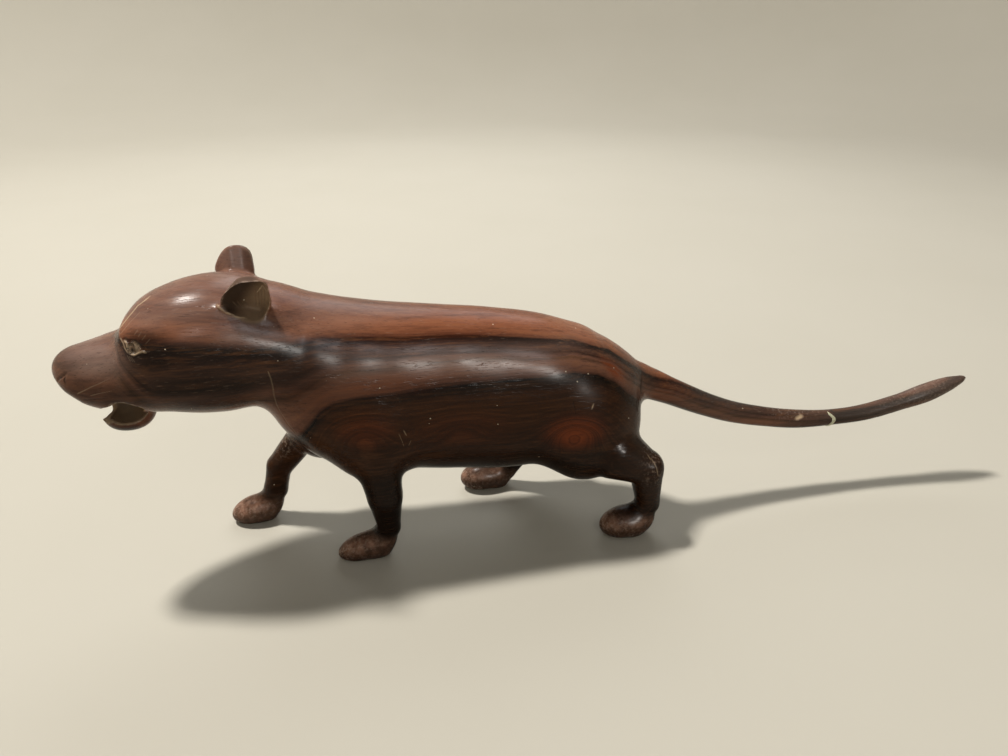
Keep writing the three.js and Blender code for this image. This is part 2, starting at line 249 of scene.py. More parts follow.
@dataclass(frozen=True)
class Loft(Shape):
    """Rounded sections along the cat, cut off at both ends."""

    sections: Sections
    squareness: float
    ends: tuple[float, float]
    rounding: float

    def distance(self, at: Array) -> Array:
        """Roughly how far points are from the loft, negative inside."""
        x, y, z = at
        top, bottom, half, widest, middle = (
            self.sections.through(name, x) for name in ("top", "bottom", "half", "widest", "middle")
        )
        rise = np.where(z > widest, top - widest, widest - bottom)
        n = self.squareness
        q = (np.abs((y - middle) / half) ** n + np.abs((z - widest) / rise) ** n) ** (1 / n)
        d = (q - 1) * np.minimum(half, rise)
        d = intersect(d, self.ends[0] - x, self.rounding)
        return intersect(d, x - self.ends[1], self.rounding)

    def reach(self) -> tuple[Array, Array]:
        """The lowest and the highest corner of the loft."""
        v = self.sections.values
        half = max(v["half"]) + max(map(abs, v["middle"]))
        return (
            np.array([self.ends[0], -half, min(v["bottom"])]),
            np.array([self.ends[1], half, max(v["top"])]),
        )


@dataclass(frozen=True)
class Tail(Shape):
    """The tail: round sections across a line that swings down and up again behind the cat."""

    sections: Sections
    tip: float

    def middle(self, along: Array) -> tuple[Array, Array]:
        """The height of the tail's middle line and its slope at distances behind the nose."""
        height = self.sections.through("height", along)
        slope = (self.sections.through("height", along + 0.5) - height) / 0.5
        return height, slope

    def distance(self, at: Array) -> Array:
        """Roughly how far points are from the tail, negative inside."""
        x, y, z = at
        foot = x
        for _ in range(2):
            height, slope = self.middle(foot)
            foot = foot + ((x - foot) + (z - height) * slope) / (1 + slope * slope)
        height, _ = self.middle(foot)
        d = np.sqrt(y * y + (x - foot) ** 2 + (z - height) ** 2) - self.sections.through("radius", foot)
        d = intersect(d, self.sections.along[0] - x, 2)
        return intersect(d, foot - self.tip, 5)

    def reach(self) -> tuple[Array, Array]:
        """The lowest and the highest corner of the tail."""
        return np.array([self.sections.along[0], -15, 50]), np.array([self.tip, 15, 140])


@dataclass(frozen=True)
class Gape(Shape):
    """The open mouth between the jaw and the palate, which the far cheek closes behind the front teeth."""

    floor: float = 132.6
    dip: float = 4.4
    dip_to: float = 33.0
    floor_from: float = 37.0
    floor_rise: float = 0.033
    arch_top: float = 151.0
    arch_at: float = 43.5
    arch_fall: float = 0.05
    lip: float = 138.5
    far_wall: float = -6.5
    wall_from: float = 24.0
    back: float = 56.0
    blend: float = 3.0

    def distance(self, at: Array) -> Array:
        """Roughly how far points are from the gap, negative inside."""
        x, y, z = at
        floor = self.floor + self.floor_rise * np.maximum(x - self.floor_from, 0) ** 2
        floor = floor - self.dip * smooth(self.dip_to - x, 0, 10)
        arch = np.maximum(self.arch_top - self.arch_fall * (x - self.arch_at) ** 2, self.lip)
        d = intersect(floor - z, z - arch, self.blend)
        wall = self.far_wall + 40 * smooth(self.wall_from - x, 0, 6)
        return intersect(intersect(d, y - wall, self.blend), x - self.back, self.blend)

    def reach(self) -> tuple[Array, Array]:
        """The lowest and the highest corner of the gap."""
        return np.array([5.0, -50, self.floor - self.dip - 1]), np.array([self.back, 40, self.arch_top])


class Wood:
    """The distance from the carved surface at many points, negative inside the wood."""

    def __init__(self, at: Array) -> None:
        """Starts with no wood at the points."""
        self.at = at
        self.d = np.full(at.shape[1], 1e3)

    def near(self, shape: Shape, margin: float) -> Array:
        """The numbers of the points within margin of a shape's box."""
        return within(self.at, *shape.reach(), margin)

    def add(self, shape: Shape, blend: float, high: float | None = None) -> None:
        """Adds a shape with a soft fillet.

        Args:
            shape: The shape to add.
            blend: The width of the fillet, in millimetres.
            high: The width above the middle of the cat, where it differs.
        """
        here = self.near(shape, blend + 12)
        at = self.at[:, here]
        size = blend if high is None else blend + (high - blend) * smooth(at[2], *FILLET_CHANGE)
        self.d[here] = union(self.d[here], shape.distance(at), size)

    def cut(self, shape: Shape, blend: float) -> None:
        """Takes a shape away and rounds the edge that it leaves."""
        here = self.near(shape, blend + 6)
        self.d[here] = intersect(self.d[here], -shape.distance(self.at[:, here]), blend)


# Relief


class Side(Enum):
    """The cat's two sides, by the sign of their distance from its midline."""

    LEFT = -1
    RIGHT = 1


@dataclass(frozen=True)
class Stroke:
    """A line worked with the point of a knife, drawn on one side of the cat as (along, up).

    A positive depth is cut into the wood and a negative one stands proud between two cuts. A pale line
    shows dust or bare wood, and a dark one is painted shade in the cut.
    """

    places: Line
    width: float
    depth: float
    pale: float = 0.6
    dark: float = 0.0
    side: Side = Side.LEFT
    taper: float = 2.5

    def laid(self, surface: Field) -> "LaidStroke":
        """The stroke laid on a surface.

        Args:
            surface: The distance from the surface.
        Returns:
            The stroke with its places in space.
        """
        spots = [np.array(self.places[0])]
        for a, b in zip(self.places, self.places[1:]):
            count = max(1, round(math.dist(a, b) / 1.5))
            spots += [np.array(a) + (np.array(b) - np.array(a)) * k / count for k in range(1, count + 1)]
        along, up = np.array(spots).T
        at = np.stack([along, np.full(len(along), 66.0 * self.side.value), up])
        for _ in range(60):
            at[1] -= 0.6 * self.side.value * np.minimum(surface(at), 12.0)
        return LaidStroke(self, at)


@dataclass(frozen=True)
class LaidStroke:
    """A stroke whose places lie on the surface, one column for each."""

    stroke: Stroke
    at: Array

    def near(self, at: Array, margin: float) -> Array:
        """The numbers of the points within margin of the line's box."""
        return within(at, self.at.min(1), self.at.max(1), margin)

    def gap(self, at: Array) -> Array:
        """How far points are from the line."""
        d = np.full(at.shape[1], np.inf)
        for a, b in zip(self.at.T, self.at.T[1:]):
            d = np.minimum(d, np.sqrt((from_bone(at, a, b)[1] ** 2).sum(0)))
        return d

    def share(self, at: Array) -> Array:
        """The share of the stroke's depth at points: 1 on the line, less where the knife lifts."""
        ends = [np.sqrt(((at - self.at[:, [k]]) ** 2).sum(0)) for k in (0, -1)]
        fade = smooth(np.minimum(*ends), 0.0, self.stroke.taper * self.stroke.width)
        return np.clip(1 - self.gap(at) / self.stroke.width, 0, 1) ** 1.2 * (0.25 + 0.75 * fade)


@dataclass(frozen=True)
class Eye:
    """A carved eye: a sunk ball with an iris and a pupil, under a cut fold and between two pale lids."""

    at: Pair
    side: Side
    size: float = 1.0
    reach: float = 14.0
    lower_lid: Line = (
        (-3.9, 2.6), (-3.7, -0.6), (-1.9, -2.9), (0.2, -3.5), (2.4, -2.4), (5.4, -1.5), (7.2, -1.9),
    )
    upper_lid: Line = ((-1.2, 3.4), (1.4, 3.0), (3.1, 1.3), (4.2, -0.3))
    fold: Line = (
        (-5.6, 5.0), (-3.4, 4.2), (-0.6, 4.3), (1.4, 4.1), (3.9, 2.2), (6.6, 0.2),
    )
    corner: Line = ((-5.6, 3.9), (-3.8, 2.6))
    crease: Line = ((-8.4, 4.4), (-6.1, 2.4), (-5.4, 0.2), (-3.7, -2.3))
    below: tuple[Line, ...] = (
        ((-3.0, -4.3), (-1.2, -7.4)),
        ((-4.2, -4.0), (-2.6, -7.0)),
        ((-1.8, -4.6), (0.0, -7.6)),
    )
    iris: float = 2.3
    pupil: float = 0.75

    def line(self, places: Line, width: float, depth: float, pale: float, dark: float) -> Stroke:
        """A stroke drawn from the middle of the eye."""
        moved = tuple((self.at[0] + self.size * a, self.at[1] + self.size * b) for a, b in places)
        return Stroke(moved, width * self.size, depth * self.size, pale, dark, self.side, 1.2)

    def strokes(self) -> tuple[Stroke, ...]:
        """The eye's strokes, in the order in which they were cut."""
        return (
            # The fold's dark is painted shade in its deep cut.
            self.line(self.fold, 1.35, 1.3, 0.0, 1.0),
            self.line(self.lower_lid, 0.85, -0.8, 0.75, 0.0),
            self.line(self.upper_lid, 0.75, -0.65, 0.5, 0.0),
            self.line(self.corner, 0.9, -0.4, 0.8, 0.0),
            self.line(self.crease, 0.6, -0.3, 0.5, 0.0),
            *(self.line(places, 0.42, 0.25, 0.32, 0.0) for places in self.below),
        )

    def near(self, at: Array) -> Array:
        """The numbers of the points round the eye."""
        gap = np.hypot(at[0] - self.at[0], at[2] - self.at[1])
        return np.flatnonzero((gap < self.reach) & (at[1] * self.side.value > 0))

    def ball(self, at: Array) -> tuple[Array, Array, Array]:
        """The sunk ball between the lids at points.

        Args:
            at: The points.
        Returns:
            How far the surface lies in, how pale it is, and how dark it is with painted shade in the iris
            groove and the pupil pit.
        """
        u = (at[0] - self.at[0]) / self.size
        v = (at[2] - self.at[1]) / self.size
        out = np.hypot((u - 0.2 * v) / 4.3, v / 3.6)
        inside = smooth(1.08 - out, 0.0, 0.3)
        ring = np.hypot((u + 0.35) / 0.72, v + 0.35)
        groove = np.exp(-(((ring - self.iris) / 0.45) ** 2)) * inside
        pit = np.exp(-((np.hypot((u + 0.7) / 0.8, v + 1.0) / self.pupil) ** 2)) * inside
        depth = inside * (1.0 - 0.8 * np.clip(1 - (out * 1.1) ** 2, 0, 1)) + 0.55 * groove + 0.6 * pit
        brown = smooth(self.iris - ring, -0.2, 0.3) * inside
        # Painted shade in the iris groove and the pupil pit, and a little on the iris.
        dark = np.clip(0.2 * brown + 0.8 * groove + 0.95 * pit, 0, 1)
        pale = inside * (0.38 - 0.25 * brown) * (1 - dark)
        return depth * self.size, pale, dark


class Tone(Enum):
    """What a patch of colour looks like: the wood's figure, wear, painted sheen, and painted shade with dark
    wood.
    """

    # Painted sheen: grey reflected light on upper surfaces.
    BLOOM = "painted_sheen"
    # Painted shade on the cheeks, creases and undersides, with dark wood.
    SHADE_AND_STAIN = "shade_and_stain"
    FLAME = "orange"
    ASH = "ash"
    WEAR = "wear"


@dataclass(frozen=True)
class Figure:
    """A soft-edged oval patch of colour, seen from the side, with the far side plainer; some tones are
    painted sheen and painted shade.
    """

    tone: Tone
    at: Pair
    reach: Pair
    share: float
    turn: float = 0.0
    both: bool = False

    def on(self, at: Array) -> Array:
        """The patch's share of the colour at points.

        Args:
            at: The points.
        Returns:
            The share at each point.
        """
        u, v = turned(at[0] - self.at[0], at[2] - self.at[1], self.turn)
        u, v = u / self.reach[0], v / self.reach[1]
        sides = 1.0 if self.both else 0.55 + 0.45 * smooth(-at[1], -12, 12)
        return self.share * sides * np.exp(-((u * u + v * v) ** 1.5))


# Surface


@dataclass(frozen=True)
class Mesh3:
    """A triangle surface in cat millimetres: one column for each point, one row for each face."""

    points: Array
    faces: Array

    def edges(self) -> tuple[Array, Array]:
        """The surface's edges as pairs, and the number of each face's three edges."""
        pairs = np.sort(self.faces[:, [0, 1, 1, 2, 2, 0]].reshape(-1, 2), axis=1)
        keys, back = np.unique(pairs[:, 0] * self.points.shape[1] + pairs[:, 1], return_inverse=True)
        count = self.points.shape[1]
        return np.stack([keys // count, keys % count]), back.reshape(-1, 3)

    def normals(self) -> Array:
        """A unit normal for each point."""
        a, b, c = (self.points[:, self.faces[:, k]] for k in range(3))
        n = np.cross(b - a, c - a, axis=0)
        total = np.stack(
            [sum(np.bincount(self.faces[:, k], row, self.points.shape[1]) for k in range(3)) for row in n]
        )
        return total / np.maximum(np.linalg.norm(total, axis=0), 1e-12)


def grid_lines(start: float, zones: Sequence[tuple[float, float]]) -> Array:
    """Positions of grid lines.

    Args:
        start: The first line.
        zones: For each zone, where it ends and the step in it.
    Returns:
        The positions in order.
    """
    lines = [start]
    for until, step in zones:
        count = math.ceil((until - lines[-1]) / step)
        lines.extend(np.linspace(lines[-1], until, count + 1)[1:])
    return np.array(lines)


def surface_of(distance: Field, lines: Sequence[Array]) -> Mesh3:
    """The closed surface where a field is zero, with one point in each crossed cell of a grid.

    Args:
        distance: The field, negative inside.
        lines: The grid's lines in the three directions.
    Returns:
        The surface.
    """
    shape = tuple(len(line) for line in lines)
    at = np.stack([axis.ravel() for axis in np.meshgrid(*lines, indexing="ij")])
    value = distance(at).reshape(shape)
    inside = value < 0
    corners = [np.array([n & 1, n >> 1 & 1, n >> 2]) for n in range(8)]
    count = sum(
        inside[tuple(slice(c, size - 1 + c) for c, size in zip(corner, shape))].astype(np.int8)
        for corner in corners
    )
    cells = np.argwhere((count > 0) & (count < 8))
    number = np.full(tuple(size - 1 for size in shape), -1)
    number[tuple(cells.T)] = np.arange(len(cells))

    total, crossings = np.zeros((len(cells), 3)), np.zeros(len(cells))
    for n in range(8):
        for bit in (1, 2, 4):
            if n & bit:
                continue
            a, b = cells + corners[n], cells + corners[n | bit]
            va, vb = value[tuple(a.T)], value[tuple(b.T)]
            crossed = (va < 0) != (vb < 0)
            t = np.where(crossed, va / np.where(crossed, va - vb, 1), 0)[:, None]
            pa = np.stack([line[i] for line, i in zip(lines, a.T)], 1)
            pb = np.stack([line[i] for line, i in zip(lines, b.T)], 1)
            total += np.where(crossed[:, None], pa + (pb - pa) * t, 0)
            crossings += crossed
    points = (total / crossings[:, None]).T

    quads = []
    rings = (
        ((0, -1, -1), (0, 0, -1), (0, 0, 0), (0, -1, 0)),
        ((-1, 0, -1), (-1, 0, 0), (0, 0, 0), (0, 0, -1)),
        ((-1, -1, 0), (0, -1, 0), (0, 0, 0), (-1, 0, 0)),
    )
    for axis, ring in enumerate(rings):
        step = np.eye(3, dtype=int)[axis]
        low = [0 if k == axis else 1 for k in range(3)]
        ends = [size - 1 for size in shape]
        here = inside[tuple(slice(a, b) for a, b in zip(low, ends))]
        there = inside[tuple(slice(a + s, b + s) for a, b, s in zip(low, ends, step))]
        crossed = np.argwhere(here != there) + low
        quad = np.stack([number[tuple((crossed + np.array(cell)).T)] for cell in ring], 1)
        flip = ~inside[tuple(crossed.T)]
        quad[flip] = quad[flip][:, ::-1]
        quads.append(quad)
    quad = np.concatenate(quads)
    one, two = (np.linalg.norm(points[:, quad[:, i]] - points[:, quad[:, i + 2]], axis=0) for i in (0, 1))
    short = (one < two)[:, None]
    first = np.where(short, quad[:, [0, 1, 2]], quad[:, [1, 2, 3]])
    second = np.where(short, quad[:, [0, 2, 3]], quad[:, [1, 3, 0]])
    return Mesh3(points, np.concatenate([first, second]))


def settle(distance: Field, points: Array, rounds: int, reach: float = 1.0) -> Array:
    """Moves points onto the surface where a field is zero.

    Args:
        distance: The field.
        points: The points.
        rounds: How many steps to take.
        reach: The longest step, in millimetres.
    Returns:
        The moved points.
    """
    e = 0.04
    for _ in range(rounds):
        d = distance(points)
        slope = np.stack([(distance(points + column(np.eye(3)[k] * e)) - d) / e for k in range(3)])
        length = np.maximum((slope**2).sum(0), 0.1)
        step = -d / length * slope
        size = np.linalg.norm(step, axis=0)
        points = points + step * np.minimum(1, reach / np.maximum(size, 1e-9))
    return points


def from_neighbours(pairs: Array, value: Array) -> Array:
    """A value summed over the neighbours of each point."""
    a, b = pairs
    return np.bincount(a, value[b], len(value)) + np.bincount(b, value[a], len(value))


def even(mesh: Mesh3, rounds: int, share: float = 0.5) -> Mesh3:
    """Slides points along the surface towards the middle of their neighbours.

    Args:
        mesh: The surface.
        rounds: How many times to slide them.
        share: How much of the way they go each time.
    Returns:
        The evener surface.
    """
    pairs, _ = mesh.edges()
    degree = from_neighbours(pairs, np.ones(mesh.points.shape[1]))
    points = mesh.points
    for _ in range(rounds):
        total = np.stack([from_neighbours(pairs, row) for row in points])
        move = total / degree - points
        normal = Mesh3(points, mesh.faces).normals()
        move -= normal * (move * normal).sum(0)
        points = points + share * move
    return Mesh3(points, mesh.faces)


def refine(mesh: Mesh3, wanted: Field) -> Mesh3:
    """Splits the edges that are longer than wanted at their middles, and the faces on them.

    Args:
        mesh: The surface.
        wanted: The edge length that is wanted at points.
    Returns:
        The finer surface.
    """
    (a, b), of_face = mesh.edges()
    pa, pb = mesh.points[:, a], mesh.points[:, b]
    middle = (pa + pb) / 2
    marked = np.linalg.norm(pa - pb, axis=0) > 1.45 * wanted(middle)
    while True:
        two = marked[of_face].sum(1) == 2
        if not two.any():
            break
        marked[of_face[two].ravel()] = True
    number = np.where(marked, mesh.points.shape[1] + np.cumsum(marked) - 1, -1)
    points = np.concatenate([mesh.points, middle[:, marked]], 1)
    count = marked[of_face].sum(1)
    f, m = mesh.faces, number[of_face]
    faces = [f[count == 0]]
    one = np.flatnonzero(count == 1)
    k = np.argmax(marked[of_face[one]], 1)
    p, q, r = f[one, k], f[one, (k + 1) % 3], f[one, (k + 2) % 3]
    new = m[one, k]
    faces += [np.stack([p, new, r], 1), np.stack([new, q, r], 1)]
    f, m = f[count == 3], m[count == 3]
    for k in range(3):
        faces.append(np.stack([f[:, k], m[:, k], m[:, (k + 2) % 3]], 1))
    faces.append(m)
    return Mesh3(points, np.concatenate(faces))


def placed(name: str, data: bpy.types.ID) -> bpy.types.Object:
    """A new object in the scene that shows some data."""
    thing = bpy.data.objects.new(name, data)
    bpy.context.scene.collection.objects.link(thing)
    return thing


def object_from(name: str, mesh: Mesh3, layers: dict[str, Array]) -> bpy.types.Object:
    """A smooth Blender object from a surface.

    Args:
        name: The object's name.
        mesh: The surface.
        layers: Named numbers for each point, which materials read.
    Returns:
        The new object.
    """
    data = bpy.data.meshes.new(name)
    places = to_scene(mesh.points)
    data.vertices.add(len(places))
    data.vertices.foreach_set("co", places.astype(np.float32).ravel())
    data.loops.add(mesh.faces.size)
    data.loops.foreach_set("vertex_index", mesh.faces.astype(np.int32).ravel())
    data.polygons.add(len(mesh.faces))
    data.polygons.foreach_set("loop_start", np.arange(0, mesh.faces.size, 3, dtype=np.int32))
    data.update(calc_edges=True)
    data.validate()
    data.shade_smooth()
    for layer, values in layers.items():
        attribute = data.attributes.new(layer, "FLOAT", "POINT")
        attribute.data.foreach_set("value", values.astype(np.float32))
    return placed(name, data)


# Shader maths


def linear(code: str) -> Four:
    """A colour for Blender from its hexadecimal screen colour."""
    parts = [int(code[i : i + 2], 16) / 255 for i in (0, 2, 4)]
    return (*[p / 12.92 if p <= 0.04045 else ((p + 0.055) / 1.055) ** 2.4 for p in parts], 1.0)


class Value:
    """A shader socket that takes part in Python expressions."""

    def __init__(self, shader: "Shader", socket: bpy.types.NodeSocket) -> None:
        """Wraps a socket of a shader."""
        self.shader, self.socket = shader, socket

    def math(self, operation: str, *others: "Value | float") -> "Value":
        """One Math node on this value and others."""
        node = self.shader.node("ShaderNodeMath", {"operation": operation}, dict(enumerate((self, *others))))
        return Value(self.shader, node.outputs[0])

    def __add__(self, other: "Value | float") -> "Value":
        """self + other."""
        return self.math("ADD", other)

    def __radd__(self, other: float) -> "Value":
        """other + self."""
        return self.math("ADD", other)

    def __sub__(self, other: "Value | float") -> "Value":
        """self - other."""
        return self.math("SUBTRACT", other)

    def __rsub__(self, other: float) -> "Value":
        """other - self."""
        return (self * -1.0) + other

    def __mul__(self, other: "Value | float") -> "Value":
        """self * other."""
        return self.math("MULTIPLY", other)

    def __rmul__(self, other: float) -> "Value":
        """other * self."""
        return self.math("MULTIPLY", other)

    def step(self, low: float, high: float) -> "Value":
        """A soft step from 0 at low to 1 at high."""
        sockets = {"Value": self, "From Min": low, "From Max": high}
        node = self.shader.node("ShaderNodeMapRange", {"interpolation_type": "SMOOTHSTEP"}, sockets)
        return Value(self.shader, node.outputs[0])


class Shader:
    """A material's node tree with one Principled surface, and the place on the object in metres."""

    def __init__(self, name: str) -> None:
        """Makes a material with an empty surface."""
        self.material = bpy.data.materials.new(name)
        self.material.use_nodes = True
        self.tree = self.material.node_tree
        self.surface = self.tree.nodes["Principled BSDF"]
        source = self.node("ShaderNodeTexCoord").outputs["Object"]
        parts = self.node("ShaderNodeSeparateXYZ", None, {0: source})
        self.place = tuple(Value(self, out) for out in parts.outputs)

    def node(self, kind: str, settings: dict | None = None, sockets: dict | None = None) -> bpy.types.Node:
        """Adds a node.

        Args:
            kind: The node's type.
            settings: Its settings, with stops for the colours of a ramp.
            sockets: Values or links for its inputs, by name or number.
        Returns:
            The node.
        """
        node = self.tree.nodes.new(kind)
        for name, setting in (settings or {}).items():
            if name == "stops":
                self.set_stops(node.color_ramp, setting)
            else:
                setattr(node, name, setting)
        for name, value in (sockets or {}).items():
            self.feed(node.inputs[name], value)
        return node

    def set_stops(self, ramp: bpy.types.ColorRamp, stops: Sequence[tuple[float, str]]) -> None:
        """Gives a colour ramp its stops."""
        while len(ramp.elements) < len(stops):
            ramp.elements.new(1.0)
        for element, (position, code) in zip(ramp.elements, stops):
            element.position, element.color = position, linear(code)

    def feed(self, socket: bpy.types.NodeSocket, value: object) -> None:
        """Links a socket to a value, or sets it."""
        if isinstance(value, Value):
            self.tree.links.new(value.socket, socket)
        elif isinstance(value, bpy.types.NodeSocket):
            self.tree.links.new(value, socket)
        else:
            socket.default_value = value

    def attribute(self, name: str) -> Value:
        """A number that the mesh carries on its points."""
        node = self.node("ShaderNodeAttribute", {"attribute_name": name})
        return Value(self, node.outputs["Fac"])

    def vector(self, x: Value | float, y: Value | float, z: Value | float) -> bpy.types.NodeSocket:
        """A vector from three numbers."""
        return self.node("ShaderNodeCombineXYZ", None, {0: x, 1: y, 2: z}).outputs[0]

    def noise(self, vector: bpy.types.NodeSocket, detail: float = 2.0, roughness: float = 0.5) -> Value:
        """Soft noise from 0 to 1 with cells of one unit."""
        sockets = {"Vector": vector, "Scale": 1.0, "Detail": detail, "Roughness": roughness}
        return Value(self, self.node("ShaderNodeTexNoise", None, sockets).outputs[0])

    def grain(self, along: float, across: float, detail: float = 3.0, roughness: float = 0.5) -> Value:
        """Noise with so many cells in a metre along the cat and across it."""
        x, y, z = self.place
        return self.noise(self.vector(x * along, y * across, z * across), detail, roughness)

    def mix(self, a: object, b: object, share: Value | float) -> bpy.types.NodeSocket:
        """Two colours mixed, with b by its share."""
        node = self.node("ShaderNodeMix", {"data_type": "RGBA", "clamp_factor": True})
        self.feed(node.inputs["Factor"], share)
        self.feed(node.inputs[6], a)
        self.feed(node.inputs[7], b)
        return node.outputs[2]

    def ramp(self, value: Value, stops: Sequence[tuple[float, str]]) -> bpy.types.NodeSocket:
        """A colour that depends on a value."""
        return self.node("ShaderNodeValToRGB", {"stops": stops}, {0: value}).outputs[0]

    def bump(self, height: Value, strength: float, distance: float) -> None:
        """Gives the surface fine relief."""
        sockets = {"Height": height, "Strength": strength, "Distance": distance}
        self.feed(self.surface.inputs["Normal"], self.node("ShaderNodeBump", None, sockets).outputs[0])


# Finishes


@dataclass(frozen=True)
class Rosewood:
    """Waxed rosewood with black and reddish layers along the cat, pale dust in its cuts and worn edges, with
    painted sheen, painted shade and painted light laid into its colour.
    """

    # Below 0.5, under the lower black line, the stops darken towards the bottom: the wood's dark band, with
    # painted shade under the body.
    stops: tuple[tuple[float, str], ...] = (
        (0.0, "160b05"),
        (0.10, "1e1007"),
        (0.25, "2b170a"),
        (0.38, "341c0a"),
        (0.45, "2f190b"),
        (0.482, "1b0f07"),
        (0.497, "090504"),
        (0.503, "130a07"),
        (0.520, "553629"),
        (0.56, "674536"),
        (0.605, "6f4c3c"),
        (0.625, "463024"),
        (0.645, "654538"),
        (0.668, "362219"),
        (0.69, "4a3329"),
        (0.72, "2e1e18"),
        (0.744, "0d0806"),
        (0.752, "573425"),
        (0.775, "7c4d36"),
        (0.82, "84543d"),
        (0.86, "654031"),
        (1.0, "6e493a"),
    )
    light: str = "97643f"
    deep: str = "0f0805"
    # The grey of the painted sheen.
    painted_sheen: str = "88736a"
    flame: str = "6e3316"
    ash: str = "4b433d"
    # Near black of the painted shade on the cheeks, creases and undersides, and of dark wood.
    shade_and_stain: str = "0b0603"
    # Pale dust; inside the mouth and low in the ear hollows it is also painted light.
    dust_and_painted_light: str = "b8a083"
    cut: str = "4f3e28"
    worn: str = "b39c8a"
    paw: str = "8a6857"
    # Near black of the painted shade in the eye, the dark cuts and high in the ear hollows.
    painted_shade: str = "0d0805"
    speck: str = "d9cbb4"

    def material(self) -> bpy.types.Material:
        """The rosewood's material.

        Returns:
            The material.
        """
        s = Shader("rosewood")
        slow = s.grain(4.0, 16.0, 2.0)
        streak = s.grain(6.0, 150.0)
        fibre = s.grain(30.0, 620.0, 3.0, 0.6)
        pore = s.grain(90.0, 1500.0, 1.0)
        blotch = s.grain(190.0, 190.0)
        fleck = s.grain(130.0, 900.0, 2.0).step(0.62, 0.74)
        scuff = s.grain(420.0, 420.0, 4.0, 0.7)
        t = s.attribute("layer") + (slow - 0.5) * 0.09 + (streak - 0.5) * 0.035
        rings = s.noise(s.vector(t * 20.0, s.place[0] * 2.0, 0.3), 3.0, 0.6)
        shade = (rings - 0.5) * 0.75 + (streak - 0.5) * 0.7 + (fibre - 0.5) * 0.95
        cut = s.attribute("cut")
        pores = pore.step(0.63, 0.72) * (1.0 - cut)
        worn = s.attribute("worn") * scuff.step(0.45, 0.7) + s.attribute("wear") * scuff.step(0.5, 0.66) * 0.6
        dust_and_painted_light = s.attribute("dust_and_painted_light") * (0.65 + blotch * 0.6)
        coats = (
            (self.deep, (shade * 1.5).math("MAXIMUM", 0.0)),
            (self.light, (shade * -0.9).math("MAXIMUM", 0.0) * (t.step(-0.25, 0.8) * 0.7 + 0.3)),
            # Painted sheen: grey reflected light laid into the colour.
            (self.painted_sheen, s.attribute("painted_sheen") * (0.75 - (streak - 0.5) * 1.2)),
            (self.flame, s.attribute("orange") * (0.85 - (rings - 0.5) * 2.8)),
            (self.ash, s.attribute("ash") * (0.8 + (streak - 0.5) * 1.2)),
            # Painted shade on the cheeks, creases and undersides, with dark wood.
            (self.shade_and_stain, s.attribute("shade_and_stain") * (0.9 + (streak - 0.5) * 0.8)),
            # Paler paws, most on their tops: wear, with painted light.
            (self.paw, s.attribute("paws") * (0.6 + (blotch - 0.5) * 1.6)),
            (self.deep, pores * 0.35),
            (self.worn, fleck * t.step(-0.6, 1.6) * 0.12),
            (self.cut, cut * (0.5 + blotch * 0.6)),
            # Painted shade in the eye, the dark cuts and the ear hollows.
            (self.painted_shade, s.attribute("painted_shade")),
            (self.worn, worn * 0.8),
            # Dust, and painted light inside the mouth and low in the ear hollows.
            (self.dust_and_painted_light, dust_and_painted_light),
            (self.speck, self.specks(s)),
        )
        colour = s.ramp(t * 0.25 + 0.5, self.stops)
        for code, share in coats:
            colour = s.mix(colour, linear(code), share)
        s.feed(s.surface.inputs["Base Color"], colour)
        smear = s.grain(22.0, 40.0, 3.0, 0.6)
        rough = 0.15 + fibre * 0.06 + smear * 0.16 + worn * 0.25 + dust_and_painted_light * 0.4 + cut * 0.3
        s.feed(s.surface.inputs["Roughness"], rough)
        s.surface.inputs["Specular IOR Level"].default_value = 0.1
        s.bump(fibre * 0.5 + pores * -0.8 + blotch * cut * 2.5 + smear * 1.5, 0.2, 0.0004)
        return s.material

    def specks(self, s: Shader) -> Value:
        """Tiny grains of dust that lie here and there on the wax."""
        sockets = {"Vector": s.vector(*s.place), "Scale": 125.0}
        cells = s.node("ShaderNodeTexVoronoi", None, sockets)
        chance = Value(s, s.node("ShaderNodeSeparateColor", None, {0: cells.outputs["Color"]}).outputs[0])
        size = chance.step(0.3, 1.0) * 0.072
        return (size - Value(s, cells.outputs["Distance"])).step(0.0, 0.012) * 0.85


@dataclass(frozen=True)
class OldGlue:
    """Pale dried glue that was squeezed out of the mended break."""

    colour: str = "b5b497"
    dirt: str = "8b8468"

    def material(self) -> bpy.types.Material:
        """The glue's material."""
        s = Shader("old glue")
        grime = s.grain(900.0, 900.0)
        colour = s.mix(linear(self.colour), linear(self.dirt), grime.step(0.45, 0.7))
        s.feed(s.surface.inputs["Base Color"], colour)
        s.feed(s.surface.inputs["Roughness"], 0.5 + grime * 0.2)
        s.bump(grime, 0.4, 0.0003)
        return s.material


@dataclass(frozen=True)
class PalePaper:
    """Plain matt pale paper."""

    colour: str = "b7b3a8"
    shade: str = "b2aea2"

    def material(self) -> bpy.types.Material:
        """The paper's material."""
        s = Shader("pale paper")
        cloud = s.grain(3.0, 3.0)
        s.feed(s.surface.inputs["Base Color"], s.mix(linear(self.colour), linear(self.shade), cloud))
        s.feed(s.surface.inputs["Roughness"], 0.8 + cloud * 0.1)
        s.surface.inputs["Specular IOR Level"].default_value = 0.2
        return s.material


# The carving


@dataclass(frozen=True)
class Leg(Shape):
    """A leg below its muscle, with its paw."""

    bones: Limb
    paw: Egg

    def distance(self, at: Array) -> Array:
        """Roughly how far points are from the leg, negative inside."""
        return union(self.bones.distance(at), self.paw.distance(at), 6.0)

    def reach(self) -> tuple[Array, Array]:
        """The lowest and the highest corner of the leg."""
        a, b = self.bones.reach(), self.paw.reach()
        return np.minimum(a[0], b[0]), np.maximum(a[1], b[1])


